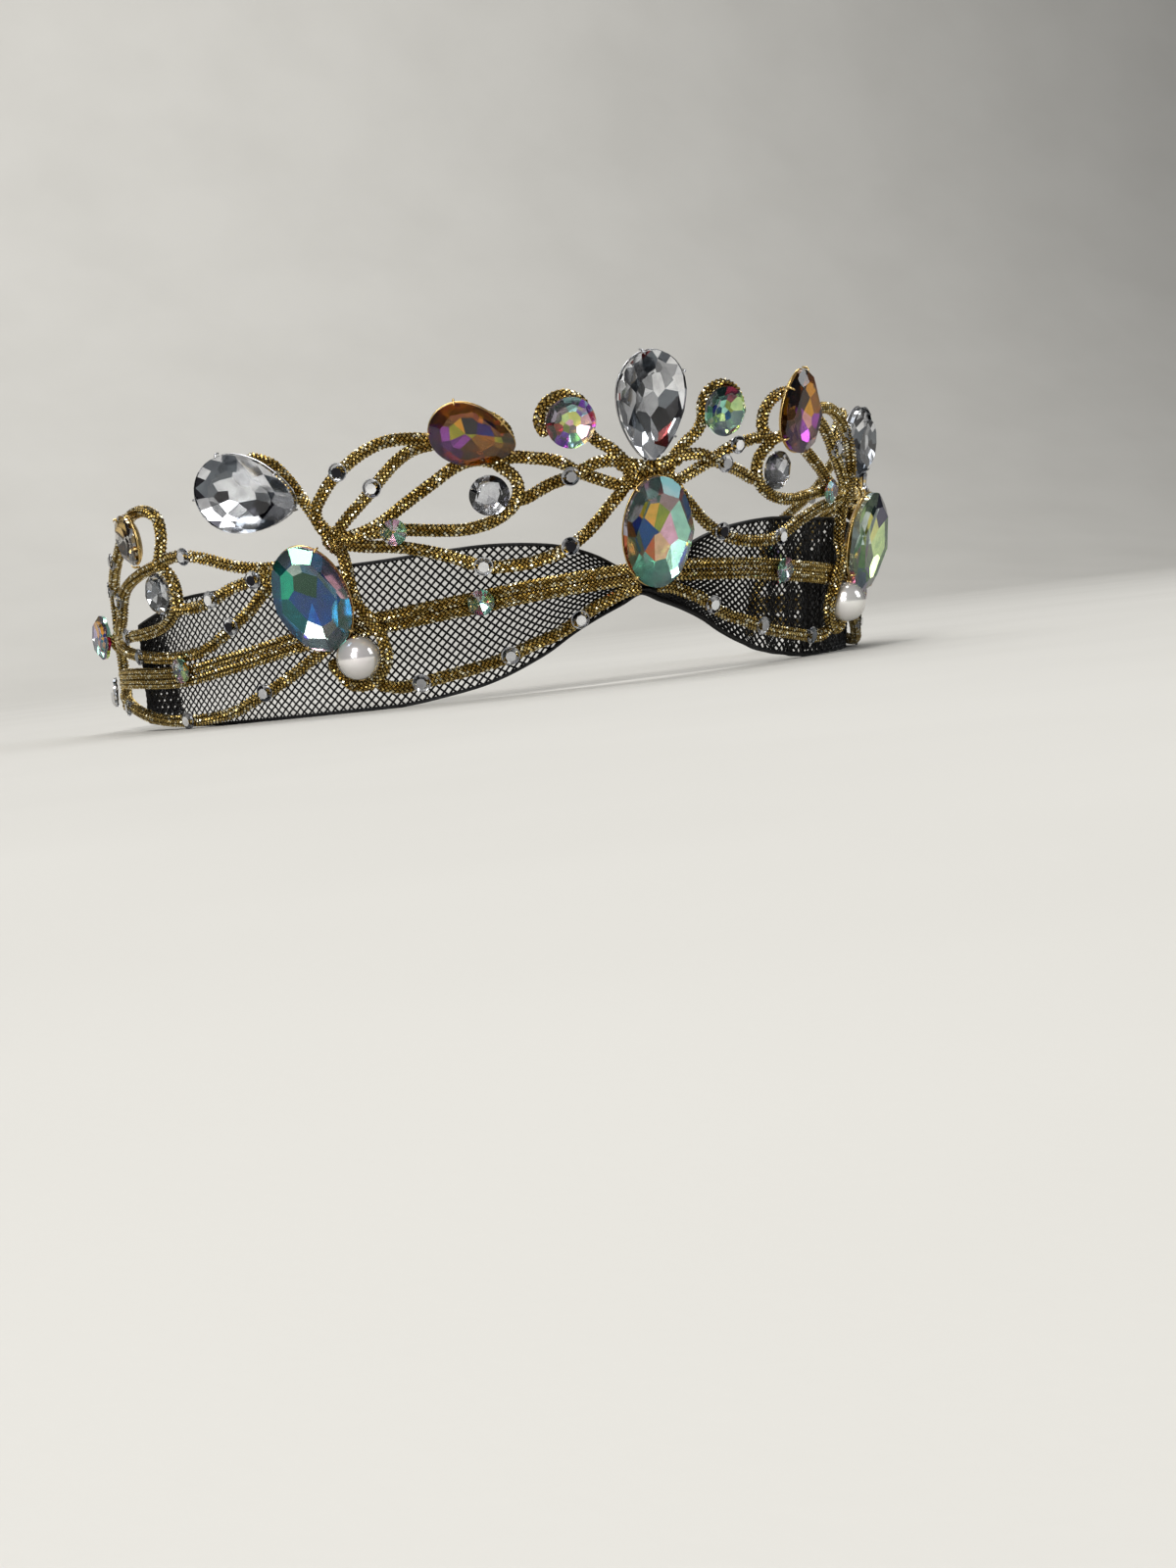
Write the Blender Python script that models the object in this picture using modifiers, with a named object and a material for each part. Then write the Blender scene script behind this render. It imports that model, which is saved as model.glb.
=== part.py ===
"""Ballet tiara: braided gold cord worked into sprays, with cut stones, pearls and a net band.

The tiara is an arc that is open at the back and stands on its lower edge. Every piece lies
on one curved wall, and is placed on it by three numbers: the angle round the head from the
middle of the front, the height above the surface it stands on, and how far it stands out
from the wall. The two halves mirror each other. The front faces -Y, and the origin lies on
that surface, below the middle of the tiara's box.
"""

import math
from typing import NamedTuple

import bmesh
import bpy
from mathutils import Matrix, Vector

# Driving dimensions, in metres
HALF_WIDTH = 0.0792          # plan of the wall, ear to ear
HALF_DEPTH = 0.0785          # plan of the wall, front to back
FLARE = 0.034                # outward lean for each metre of height
FORWARD_LEAN = 0.238         # lean toward the front for each metre of height
ORIGIN_FORWARD = 0.0386      # from the middle of the plan forward to the origin
BASE_LIFT = 0.0006           # from the surface up to the tables' zero height
PINCH_FROM = 72.0            # degrees: from here the ends bend toward the head
PINCH = 0.00009              # inward bend for each degree past that
CORD_RADIUS = 0.00095        # braided cord over wire
CORD_STEP = 0.0038           # spacing of a cord's points
RAIL_SPACING = 0.0023        # between the two cords of the rail
KNOT_RADIUS = 0.0019         # where cords are wound together
GAP = 0.0003                 # between neighbouring pieces
NET_OUT = -0.0022            # the net band lies inside the cords
NET_THICKNESS = 0.0010
CLAW_RADIUS = 0.00035
CUP_THICKNESS = 0.0006

MM = 0.001
SIDES = {"left": -1, "right": 1}


class Stop(NamedTuple):
    """A place on the wall: degrees from the front, millimetres up, millimetres out."""

    angle: float
    height: float
    out: float = 0.0


class Bead(NamedTuple):
    """A small crystal glued to a cord: how far along it sits, and on which halves."""

    along: float
    halves: tuple = ("left", "right")


class Cord(NamedTuple):
    """One braided cord: its route on the wall and the small crystals on it."""

    stops: tuple
    beads: tuple = ()


class Gem(NamedTuple):
    """A main stone: its place, size in millimetres, turn in the wall, cut and finish."""

    place: Stop
    length: float
    width: float
    turn: float
    cut: str
    finish: str
    setting: str
    claws: tuple


BEAD_WIDTH = 3.0 * MM
BEAD_TABLE = 1.7 * MM
BEAD_HEIGHT = 1.5 * MM

RAIL = (
    Stop(0, 18.8), Stop(8, 18.4), Stop(16, 17.7), Stop(24, 16.6), Stop(35, 15.2), Stop(46, 13.6),
    Stop(55, 11.6), Stop(60, 10.7), Stop(65, 9.8), Stop(71, 9.4), Stop(82, 9.9), Stop(91, 10.1),
    Stop(100.5, 10.2),
)

# Cords of one half, by the node that they are sewn into
CORDS = {
    "crossing_cords": {
        "round_stem": Cord((
            Stop(3.4, 38.8), Stop(4.5, 41.0), Stop(5.8, 44.0, -0.4), Stop(6.7, 47.5, -0.5),
            Stop(8.2, 50.2, -0.5), Stop(10.8, 51.3, -0.5), Stop(13.2, 50.2, -0.5),
            Stop(14.5, 47.4, -0.5), Stop(13.8, 44.4, -0.5),
        )),
        "low": Cord((
            Stop(3.4, 38.8), Stop(7.3, 38.8, 0.6), Stop(10.5, 37.0, 0.6), Stop(13.5, 35.8),
            Stop(16.0, 34.2),
        ), (Bead(0.56),)),
        "high": Cord((
            Stop(4.4, 34.6), Stop(7.5, 36.4, -0.6), Stop(9.6, 37.6, -0.6), Stop(11.7, 39.3),
            Stop(13.6, 40.2), Stop(15.9, 40.8),
        ), (Bead(0.72, ("right",)),)),
        "wave": Cord((
            Stop(3.4, 38.8), Stop(2.8, 36.0), Stop(3.8, 33.6), Stop(5.6, 31.0), Stop(7.5, 28.2),
            Stop(9.5, 25.9), Stop(12.2, 23.9), Stop(15, 22.9), Stop(18, 22.5), Stop(22, 22.9),
            Stop(27, 25.7), Stop(32.5, 27.9), Stop(37.6, 28.3),
        ), (Bead(0.34), Bead(0.62))),
    },
    "lower_scallop": {
        "scallop": Cord((
            Stop(4.1, 15.6), Stop(5.8, 14.4), Stop(7.9, 13.3), Stop(10, 11.4), Stop(12.6, 9.5),
            Stop(15.8, 8.1), Stop(20, 6.1), Stop(24.2, 4.9), Stop(28.4, 4.0), Stop(31.5, 3.3),
            Stop(34.4, 2.9),
        ), (Bead(0.26), Bead(0.54), Bead(0.88))),
    },
    "pearl_loop": {
        "loop": Cord((
            Stop(40.3, 26.2), Stop(39.6, 23.2), Stop(39.1, 20.1, 0.4), Stop(37.9, 18.1, 1.7),
            Stop(36.7, 16.7, 2.4), Stop(35.4, 13.6, 2.4), Stop(34.7, 10.2, 2.3),
            Stop(34.5, 7.0, 2.2), Stop(36.0, 3.8, 2.1), Stop(38.2, 2.4, 2.0), Stop(40.4, 3.5, 1.6),
            Stop(42.0, 6.0, 0.8), Stop(43.1, 8.8, 0.2),
        )),
    },
    "side_spray": {
        "fan_outer": Cord((
            Stop(41.3, 30.5), Stop(43.2, 33.2), Stop(43.8, 36.0), Stop(42.6, 38.9),
            Stop(41.2, 41.1), Stop(39.2, 43.2), Stop(36.8, 45.1), Stop(34, 46.3), Stop(31, 46.3),
            Stop(27.5, 45.6),
        ), (Bead(0.44),)),
        "fan_middle": Cord((
            Stop(41.3, 30.5), Stop(40.2, 33.1), Stop(38.4, 35.4), Stop(36.5, 37.7),
            Stop(34.6, 40.4), Stop(32.6, 42.8), Stop(30.4, 44.4), Stop(27.5, 45.0),
        ), (Bead(0.46),)),
        "fan_inner": Cord((
            Stop(41.3, 30.5), Stop(37.6, 31.3), Stop(35, 32.6), Stop(32.2, 35.0), Stop(28.2, 38.3),
            Stop(25.3, 40.6), Stop(22.7, 41.4), Stop(20.4, 40.6),
        )),
        "stone_loop": Cord((
            Stop(41.3, 30.5), Stop(38.4, 30.8), Stop(34.5, 31.0), Stop(31.6, 30.8),
            Stop(28.4, 30.2), Stop(24.7, 29.7), Stop(21.6, 30.2), Stop(19.2, 31.6),
            Stop(17.8, 33.5), Stop(17.4, 35.8), Stop(18.1, 38.1), Stop(20.4, 40.6),
        )),
        "amber_curl": Cord((
            Stop(20.4, 40.6), Stop(18.2, 41.4, -0.4), Stop(17.2, 43.6, -0.8),
            Stop(18.0, 46.6, -0.8), Stop(20.4, 49.1, -0.8), Stop(23.2, 50.4, -0.8),
        )),
        "teardrop_curl": Cord((
            Stop(41.3, 30.5), Stop(44.0, 33.8, -1.0), Stop(45.7, 36.9, -3.2),
            Stop(47.6, 40.2, -4.5), Stop(49.4, 43.4, -4.8), Stop(51.8, 46.4, -4.8),
            Stop(54.8, 48.4, -4.8),
        )),
    },
    "outer_fan": {
        "upper": Cord((
            Stop(46, 26.8), Stop(50.2, 27.2), Stop(53.5, 27.5), Stop(57.5, 28.6), Stop(61.8, 30.4),
            Stop(66, 31.6), Stop(69.0, 31.9),
        ), (Bead(0.85),)),
        "middle": Cord((
            Stop(46, 26.8), Stop(51.4, 25.8), Stop(54.5, 25.3), Stop(57.9, 24.4), Stop(60.5, 23.1),
            Stop(63.7, 22.1), Stop(66.4, 21.9),
        ), (Bead(0.36), Bead(0.76))),
        "diagonal": Cord((
            Stop(46, 26.8), Stop(49.5, 25.4), Stop(52.1, 23.1), Stop(54.6, 20.3), Stop(57.5, 17.8),
            Stop(60.2, 15.8), Stop(63.7, 13.8), Stop(66.8, 13.2),
        ), (Bead(0.58),)),
    },
    "outer_scallop": {
        "scallop": Cord((
            Stop(45.4, 10.1), Stop(48.3, 7.8), Stop(50.3, 6.4), Stop(52.7, 4.9), Stop(55.2, 3.6),
            Stop(58.9, 1.8), Stop(63.8, 1.0), Stop(70.4, 1.0), Stop(78.5, 2.0), Stop(86.6, 3.9),
            Stop(92, 5.3), Stop(97, 6.3), Stop(100.2, 6.7),
        ), (Bead(0.16), Bead(0.43), Bead(0.76))),
    },
    "end_spray": {
        "lower": Cord((
            Stop(67.7, 13.2), Stop(71, 13.1), Stop(78.7, 13.9), Stop(86.8, 15.1),
            Stop(93.7, 16.8), Stop(98.7, 17.6),
        ), (Bead(0.40),)),
        "loop": Cord((
            Stop(98.9, 18.2), Stop(92, 18.1), Stop(86.4, 18.3), Stop(78, 18.4), Stop(72, 19.4),
            Stop(68.9, 22.1), Stop(68.6, 25.6), Stop(69.8, 28.6), Stop(72.3, 30.8),
        ), (Bead(0.36),)),
        "inner": Cord((
            Stop(72.3, 30.8), Stop(79.5, 29.4), Stop(85.3, 27.5), Stop(88.3, 24.9),
            Stop(90.4, 22.0), Stop(95, 19.6), Stop(98.8, 18.7),
        ), (Bead(0.56),)),
        "outer": Cord((
            Stop(72.3, 30.8), Stop(71.2, 34.1), Stop(70.9, 36.9), Stop(71.8, 39.6),
            Stop(75, 41.1), Stop(79.3, 40.9), Stop(82.8, 38.8), Stop(86, 35.6), Stop(91, 32.4),
            Stop(96, 29.4), Stop(99.4, 26.2), Stop(100.8, 22.8), Stop(99.8, 18.6),
        ), (Bead(0.60), Bead(0.80))),
        "root": Cord((
            Stop(99.6, 17.3), Stop(101.8, 14.8), Stop(103.0, 11.8), Stop(103.6, 7.8),
            Stop(103.8, 3.4),
        )),
    },
}

KNOTS = {
    "side_spray": Stop(41.3, 30.5),
    "end_spray": Stop(99.2, 17.8),
}

# Lower and upper edge of the net band, gathered to a waist behind the middle oval
NET_EDGES = (
    (0.0, 15.2, 18.6), (3.0, 13.6, 19.8), (6.5, 11.7, 22.4), (10.0, 9.4, 24.3),
    (14.0, 6.2, 25.6), (21.0, 2.4, 26.5), (28.0, 0.6, 26.4), (35.0, -0.4, 26.0),
    (42.0, -0.5, 25.8), (50.0, -0.5, 25.0), (60.0, -0.4, 24.4), (70.0, 0.0, 23.9),
    (78.0, 0.5, 21.8), (86.0, 1.0, 20.2),
)
NET_ROWS = 3

FOUR_OVAL = (40, 140, 220, 320)
FOUR_DROP = (15, 165, 235, 305)

# Main stones of one half
GEMS = {
    "ab_round": Gem(Stop(10.8, 46.0, 1.2), 9.0, 9.0, 0, "round", "ab_glass", "", ()),
    "amber_teardrop": Gem(
        Stop(23.0, 45.2, 3.7), 15.4, 10.8, 21, "drop", "amber_glass", "gold", FOUR_DROP),
    "smoky_round": Gem(Stop(21.1, 35.1, 0.6), 7.2, 7.2, 0, "round", "smoky_glass", "", ()),
    "clear_teardrop": Gem(
        Stop(55.3, 40.7, -1.5), 19.4, 14.4, 31, "drop", "clear_glass", "silver", FOUR_DROP),
    "ab_oval": Gem(Stop(44.2, 20.6, 3.9), 20.2, 13.8, 112.5, "oval", "ab_glass", "gold", FOUR_OVAL),
    "champagne_teardrop": Gem(
        Stop(76.6, 36.0, 3.1), 11.0, 7.4, 66, "drop", "champagne_glass", "gold", FOUR_DROP),
    "end_clear_round": Gem(Stop(71.9, 25.4, 0.6), 6.4, 6.4, 0, "round", "clear_glass", "", ()),
    "end_ab_round": Gem(Stop(100.8, 19.0, 3.3), 9.0, 9.0, 0, "round", "ab_glass", "", ()),
    "end_foot_round": Gem(Stop(103.4, 7.6, 2.1), 6.2, 6.2, 0, "round", "clear_glass", "", ()),
    "upper_chaton": Gem(Stop(33.1, 30.6, 1.9), 4.7, 4.7, 0, "round", "ab_glass", "", ()),
    "rail_chaton": Gem(Stop(22.5, 16.6, 1.9), 4.7, 4.7, 0, "round", "ab_glass", "", ()),
    "outer_chaton": Gem(Stop(67.4, 10.6, 1.9), 4.7, 4.7, 0, "round", "ab_glass", "", ()),
}

# Stones on the middle line
CENTRE_GEMS = {
    "centre_teardrop": Gem(
        Stop(0, 48.7, 0.4), 19.4, 13.6, 90, "drop", "clear_glass", "silver", FOUR_DROP),
    "centre_oval": Gem(Stop(0, 25.6, 3.9), 20.2, 13.4, 90, "oval", "ab_glass", "gold", FOUR_OVAL),
}
CENTRE_KNOT = Stop(0, 36.8)

PEARL = Stop(38.4, 8.2, 2.8)
PEARL_RADIUS = 4.0 * MM

# A cut stone, from the table down: share of the half width, share of the half width in height
CUT_PROFILE = ((0.0, 0.30), (0.56, 0.30), (1.0, 0.06), (1.0, -0.04), (0.34, -0.24), (0.0, -0.24))
DROP_TAPER = 1.14
DROP_TIP = 0.13
CUT_FACETS = {"round": 10, "oval": 12, "drop": 12}

FINISHES = {
    "gold_cord": ((0.72, 0.55, 0.22), 0.35, 1.0),
    "gold_claw": ((0.80, 0.62, 0.28), 0.25, 1.0),
    "silver_claw": ((0.75, 0.75, 0.76), 0.25, 1.0),
    "ab_glass": ((0.45, 0.62, 0.72), 0.06, 0.3),
    "amber_glass": ((0.72, 0.36, 0.08), 0.06, 0.2),
    "smoky_glass": ((0.30, 0.29, 0.30), 0.06, 0.2),
    "clear_glass": ((0.78, 0.80, 0.82), 0.05, 0.3),
    "champagne_glass": ((0.70, 0.52, 0.30), 0.06, 0.2),
    "pearl_coat": ((0.90, 0.87, 0.80), 0.20, 0.0),
    "black_net": ((0.02, 0.02, 0.02), 0.60, 0.0),
}


def clear_scene() -> bpy.types.Collection:
    """Remove what is in the file and return the tiara's own collection."""
    for thing in list(bpy.data.objects):
        bpy.data.objects.remove(thing, do_unlink=True)
    collection = bpy.data.collections.new("ballet_tiara")
    bpy.context.scene.collection.children.link(collection)
    return collection


def make_material(name: str) -> bpy.types.Material:
    """Return the material of that name, made once."""
    found = bpy.data.materials.get(name)
    if found:
        return found
    colour, roughness, metallic = FINISHES[name]
    material = bpy.data.materials.new(name)
    material.use_nodes = True
    shader = material.node_tree.nodes["Principled BSDF"]
    shader.inputs["Base Color"].default_value = (*colour, 1.0)
    shader.inputs["Roughness"].default_value = roughness
    shader.inputs["Metallic"].default_value = metallic
    return material


def wall_point(stop: Stop, side: int = 1) -> Vector:
    """Return the world point of a place on the wall."""
    angle = math.radians(stop.angle) * side
    height = stop.height * MM
    x = HALF_WIDTH * math.sin(angle)
    y = -HALF_DEPTH * math.cos(angle)
    normal = Vector((x / HALF_WIDTH**2, y / HALF_DEPTH**2, 0)).normalized()
    pinch = PINCH * max(0.0, abs(stop.angle) - PINCH_FROM)
    reach = stop.out * MM + FLARE * height - pinch
    foot = Vector((x, y + ORIGIN_FORWARD - FORWARD_LEAN * height, height + BASE_LIFT))
    return foot + normal * reach


def wall_frame(stop: Stop, side: int = 1, turn: float = 0.0) -> Matrix:
    """Return the frame of a piece on the wall.

    Its Z points out of the wall. Its X lies in the wall, turned by the given degrees from
    the direction that leads away from the middle, and upward on both halves alike.
    """
    origin = wall_point(stop, side)
    step = 0.5
    along = wall_point(stop._replace(angle=stop.angle + step), side)
    along -= wall_point(stop._replace(angle=stop.angle - step), side)
    up = wall_point(stop._replace(height=stop.height + step), side) - origin
    along.normalize()
    up = (up - along * up.dot(along)).normalized()
    x_axis = along * math.cos(math.radians(turn)) + up * math.sin(math.radians(turn))
    y_axis = up * math.cos(math.radians(turn)) - along * math.sin(math.radians(turn))
    out = wall_point(stop._replace(out=stop.out + 1.0), side) - origin
    z_axis = x_axis.cross(y_axis)
    if z_axis.dot(out) < 0:
        y_axis = -y_axis
        z_axis = -z_axis
    frame = Matrix((x_axis, y_axis, z_axis)).transposed().to_4x4()
    frame.translation = origin
    return frame


def smooth_stops(stops: tuple) -> list[Stop]:
    """Return points on a smooth curve through a route's stops, CORD_STEP apart or less."""
    points = [Vector(stop) for stop in stops]
    ends = [2 * points[0] - points[1], *points, 2 * points[-1] - points[-2]]
    result = []
    for before, start, finish, after in zip(ends, ends[1:], ends[2:], ends[3:]):
        run = (wall_point(Stop(*finish)) - wall_point(Stop(*start))).length
        pieces = max(1, round(run / CORD_STEP))
        for index in range(pieces):
            t = index / pieces
            blend = start * 2 + (finish - before) * t
            blend += (before * 2 - start * 5 + finish * 4 - after) * t**2
            blend += (start * 3 - before - finish * 3 + after) * t**3
            result.append(Stop(*(blend * 0.5)))
    return result + [Stop(*points[-1])]


def add_object(name: str, mesh: bpy.types.Mesh, finish: str) -> bpy.types.Object:
    """Link a mesh into the tiara's collection as a named object with its material."""
    thing = bpy.data.objects.new(name, mesh)
    bpy.data.collections["ballet_tiara"].objects.link(thing)
    mesh.materials.clear()
    mesh.materials.append(make_material(finish))
    return thing


def mesh_from(source: bpy.types.Object, finish: str) -> bpy.types.Object:
    """Turn a curve or a modified object into a plain closed mesh object."""
    bpy.context.view_layer.update()
    evaluated = source.evaluated_get(bpy.context.evaluated_depsgraph_get())
    mesh = bpy.data.meshes.new_from_object(evaluated)
    work = bmesh.new()
    work.from_mesh(mesh)
    bmesh.ops.remove_doubles(work, verts=work.verts, dist=0.00001)
    bmesh.ops.recalc_face_normals(work, faces=work.faces)
    work.to_mesh(mesh)
    work.free()
    name = source.name
    place = source.matrix_world.copy()
    bpy.data.objects.remove(source, do_unlink=True)
    thing = add_object(name, mesh, finish)
    thing.matrix_world = place
    return thing


def tube(
    name: str, points: list[Vector], radius: float, finish: str, rounding: int = 1
) -> bpy.types.Object:
    """Make a capped tube through the points, with 4 sides and 2 more for each rounding."""
    curve = bpy.data.curves.new(name, "CURVE")
    curve.dimensions = "3D"
    curve.bevel_depth = radius
    curve.bevel_resolution = rounding
    curve.use_fill_caps = True
    spline = curve.splines.new("POLY")
    spline.points.add(len(points) - 1)
    for target, point in zip(spline.points, points):
        target.co = (*point, 1.0)
    thing = bpy.data.objects.new(name, curve)
    bpy.data.collections["ballet_tiara"].objects.link(thing)
    return mesh_from(thing, finish)


def unite(base: bpy.types.Object, others: list[bpy.types.Object]) -> bpy.types.Object:
    """Join the others to the base as one body."""
    for other in others:
        modifier = base.modifiers.new("join", "BOOLEAN")
        modifier.operation = "UNION"
        modifier.solver = "EXACT"
        modifier.object = other
        with bpy.context.temp_override(object=base, active_object=base):
            bpy.ops.object.modifier_apply(modifier=modifier.name)
        bpy.data.objects.remove(other, do_unlink=True)
    return base


def bead_on(stops: list[Stop], bead: Bead, side: int) -> bpy.types.Object:
    """Make a small faceted crystal on the outer face of a cord."""
    place = stops[round(bead.along * (len(stops) - 1))]
    seat = place._replace(out=place.out + CORD_RADIUS / MM * 0.55)
    mesh = bpy.data.meshes.new("bead")
    work = bmesh.new()
    bmesh.ops.create_cone(
        work, cap_ends=True, segments=8, radius1=BEAD_WIDTH / 2, radius2=BEAD_TABLE / 2,
        depth=BEAD_HEIGHT, matrix=Matrix.Translation((0, 0, BEAD_HEIGHT / 2)))
    work.to_mesh(mesh)
    work.free()
    thing = add_object("bead", mesh, "gold_cord")
    thing.matrix_world = wall_frame(seat, side)
    return thing


def knot_at(stop: Stop, side: int) -> bpy.types.Object:
    """Make the ball of wound cord where a spray's cords meet."""
    mesh = bpy.data.meshes.new("knot")
    work = bmesh.new()
    bmesh.ops.create_uvsphere(work, u_segments=10, v_segments=6, radius=KNOT_RADIUS)
    work.to_mesh(mesh)
    work.free()
    thing = add_object("knot", mesh, "gold_cord")
    thing.matrix_world = wall_frame(stop, side)
    return thing


def build_cord_group(group: str, half: str) -> bpy.types.Object:
    """Make the cords of one node, sewn into one body with their small crystals."""
    side = SIDES[half]
    parts = []
    for name, cord in CORDS[group].items():
        stops = smooth_stops(cord.stops)
        points = [wall_point(stop, side) for stop in stops]
        parts.append(tube(f"{group}_{name}", points, CORD_RADIUS, "gold_cord"))
        parts += [bead_on(stops, bead, side) for bead in cord.beads if half in bead.halves]
    if group in KNOTS:
        parts.append(knot_at(KNOTS[group], side))
    thing = unite(parts[0], parts[1:])
    thing.name = f"{group}_{half}"
    return thing


def build_rail(name: str, lift: float) -> bpy.types.Object:
    """Make one of the two cords that run round the whole arc."""
    half = smooth_stops(RAIL)
    stops = [stop._replace(height=stop.height + lift / MM) for stop in half]
    right = [wall_point(stop, 1) for stop in stops]
    left = [wall_point(stop, -1) for stop in stops[1:]]
    return tube(name, [*reversed(left), *right], CORD_RADIUS, "gold_cord")


def drop_taper(share: float) -> float:
    """Narrow a round toward the tip, at share -1, and keep its full width near share 0.3."""
    return math.sqrt(max(0.0, (1 + share) / 2)) * DROP_TAPER + DROP_TIP


def shape_outline(point: Vector, gem: Gem, grow: float = 0.0) -> Vector:
    """Stretch a point of a unit round into the stone's oval or teardrop outline."""
    x = point.x * (gem.length * MM / 2 + grow)
    y = point.y * (gem.width * MM / 2 + grow)
    if gem.cut == "drop":
        y *= drop_taper(point.x)
    return Vector((x, y, point.z))


def cut_stone(name: str, gem: Gem, side: int) -> bpy.types.Object:
    """Make a cut stone: a turned profile with flat facets, stretched to its outline."""
    mesh = bpy.data.meshes.new(name)
    corners = [Vector((radius, 0, height)) for radius, height in CUT_PROFILE]
    mesh.from_pydata(corners, [(i, i + 1) for i in range(len(corners) - 1)], [])
    thing = add_object(name, mesh, gem.finish)
    facets = CUT_FACETS[gem.cut]
    screw = thing.modifiers.new("turn", "SCREW")
    screw.steps = facets
    screw.render_steps = facets
    screw.use_merge_vertices = True
    screw.merge_threshold = 0.00001
    thing = mesh_from(thing, gem.finish)
    depth = gem.width * MM / 2
    for vertex in thing.data.vertices:
        place = shape_outline(vertex.co, gem)
        vertex.co = (place.x, place.y, vertex.co.z * depth)
    thing.matrix_world = wall_frame(gem.place, side, gem.turn)
    return thing


def claw_setting(name: str, gem: Gem, side: int) -> bpy.types.Object:
    """Make the cup behind a stone with its claws bent over the edge."""
    finish = f"{gem.setting}_claw"
    half = gem.width * MM / 2
    floor = CUT_PROFILE[-1][1] * half - GAP
    brim = CUT_PROFILE[2][1] * half
    mesh = bpy.data.meshes.new(name)
    work = bmesh.new()
    bmesh.ops.create_cone(
        work, cap_ends=True, segments=12, radius1=0.80, radius2=0.90, depth=CUP_THICKNESS,
        matrix=Matrix.Translation((0, 0, floor - CUP_THICKNESS / 2)))
    for vertex in work.verts:
        vertex.co = shape_outline(vertex.co, gem)
    work.to_mesh(mesh)
    work.free()
    cup = add_object(name, mesh, finish)
    claws = []
    clear = GAP + CLAW_RADIUS
    for degrees in gem.claws:
        around = Vector((math.cos(math.radians(degrees)), math.sin(math.radians(degrees)), 0))
        foot = shape_outline(around * 0.80, gem)
        knee = shape_outline(around, gem, clear * 1.25)
        tip = shape_outline(around * 0.86, gem)
        path = [
            Vector((foot.x, foot.y, floor - CUP_THICKNESS / 2)),
            Vector((knee.x, knee.y, floor + CUP_THICKNESS)),
            Vector((knee.x, knee.y, brim)),
            Vector((tip.x, tip.y, brim + clear * 2.4)),
        ]
        claws.append(tube("claw", path, CLAW_RADIUS, finish, rounding=0))
    setting = unite(cup, claws)
    setting.matrix_world = wall_frame(gem.place, side, gem.turn)
    return setting


def build_gem(name: str, gem: Gem, side: int) -> None:
    """Make a stone, and its setting where it has one."""
    cut_stone(name, gem, side)
    if gem.setting:
        claw_setting(f"{name}_setting", gem, side)


def build_pearl(name: str, side: int) -> bpy.types.Object:
    """Make the pearl that hangs in its loop below the side oval."""
    mesh = bpy.data.meshes.new(name)
    work = bmesh.new()
    bmesh.ops.create_uvsphere(work, u_segments=12, v_segments=8, radius=PEARL_RADIUS)
    work.to_mesh(mesh)
    work.free()
    pearl = add_object(name, mesh, "pearl_coat")
    pearl.matrix_world = wall_frame(PEARL, side)
    mesh.shade_smooth()
    return pearl


def build_net_band() -> bpy.types.Object:
    """Make the band of black horsehair net, as a thin wall inside the cords."""
    halves = [(-angle, low, high) for angle, low, high in reversed(NET_EDGES[1:])]
    columns = halves + list(NET_EDGES)
    out = NET_OUT / MM
    verts = []
    for angle, low, high in columns:
        side = -1 if angle < 0 else 1
        for row in range(NET_ROWS + 1):
            height = low + (high - low) * row / NET_ROWS
            verts.append(wall_point(Stop(abs(angle), height, out), side))
    rows = NET_ROWS + 1
    faces = []
    for column in range(len(columns) - 1):
        for row in range(NET_ROWS):
            corner = column * rows + row
            faces.append((corner, corner + rows, corner + rows + 1, corner + 1))
    mesh = bpy.data.meshes.new("net_band")
    mesh.from_pydata(verts, [], faces)
    band = add_object("net_band", mesh, "black_net")
    wall = band.modifiers.new("wall", "SOLIDIFY")
    wall.thickness = NET_THICKNESS
    wall.offset = 0.0
    return band


def main() -> None:
    """Build the whole tiara."""
    clear_scene()
    build_rail("rail_upper", RAIL_SPACING / 2)
    build_rail("rail_lower", -RAIL_SPACING / 2)
    knot_at(CENTRE_KNOT, 1).name = "centre_knot"
    build_net_band()
    for name, gem in CENTRE_GEMS.items():
        build_gem(name, gem, 1)
    for half, side in SIDES.items():
        for group in CORDS:
            build_cord_group(group, half)
        for name, gem in GEMS.items():
            build_gem(f"{name}_{half}", gem, side)
        build_pearl(f"pearl_{half}", side)


main()
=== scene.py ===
"""Ballet tiara in braided gold cord, with foiled glass stones, pearls and a horsehair net band.

Every piece lies on one curved wall. A place on it is three numbers: degrees from the middle of
the front, millimetres above the table, and millimetres out from the wall. The front faces -Y.
"""

import itertools
import logging
import math
import random
from dataclasses import dataclass, field
from enum import Enum
from typing import NamedTuple

import bmesh
import bpy
import numpy as np
from mathutils import Matrix, Vector


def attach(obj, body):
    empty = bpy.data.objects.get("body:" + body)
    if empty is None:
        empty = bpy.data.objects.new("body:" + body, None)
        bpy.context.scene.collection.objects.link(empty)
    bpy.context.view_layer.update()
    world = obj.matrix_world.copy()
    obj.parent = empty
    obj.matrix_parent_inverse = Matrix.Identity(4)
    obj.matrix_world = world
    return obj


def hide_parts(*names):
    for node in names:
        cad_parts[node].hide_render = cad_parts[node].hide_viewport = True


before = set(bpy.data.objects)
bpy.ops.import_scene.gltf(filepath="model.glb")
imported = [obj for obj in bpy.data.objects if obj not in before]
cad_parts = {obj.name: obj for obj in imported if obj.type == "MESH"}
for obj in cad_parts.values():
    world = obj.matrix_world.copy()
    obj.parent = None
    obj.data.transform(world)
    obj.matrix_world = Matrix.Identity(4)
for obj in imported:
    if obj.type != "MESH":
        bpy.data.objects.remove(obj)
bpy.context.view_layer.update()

MM = 0.001
HALVES = {"left": -1, "right": 1}
log = logging.getLogger("tiara")


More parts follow.
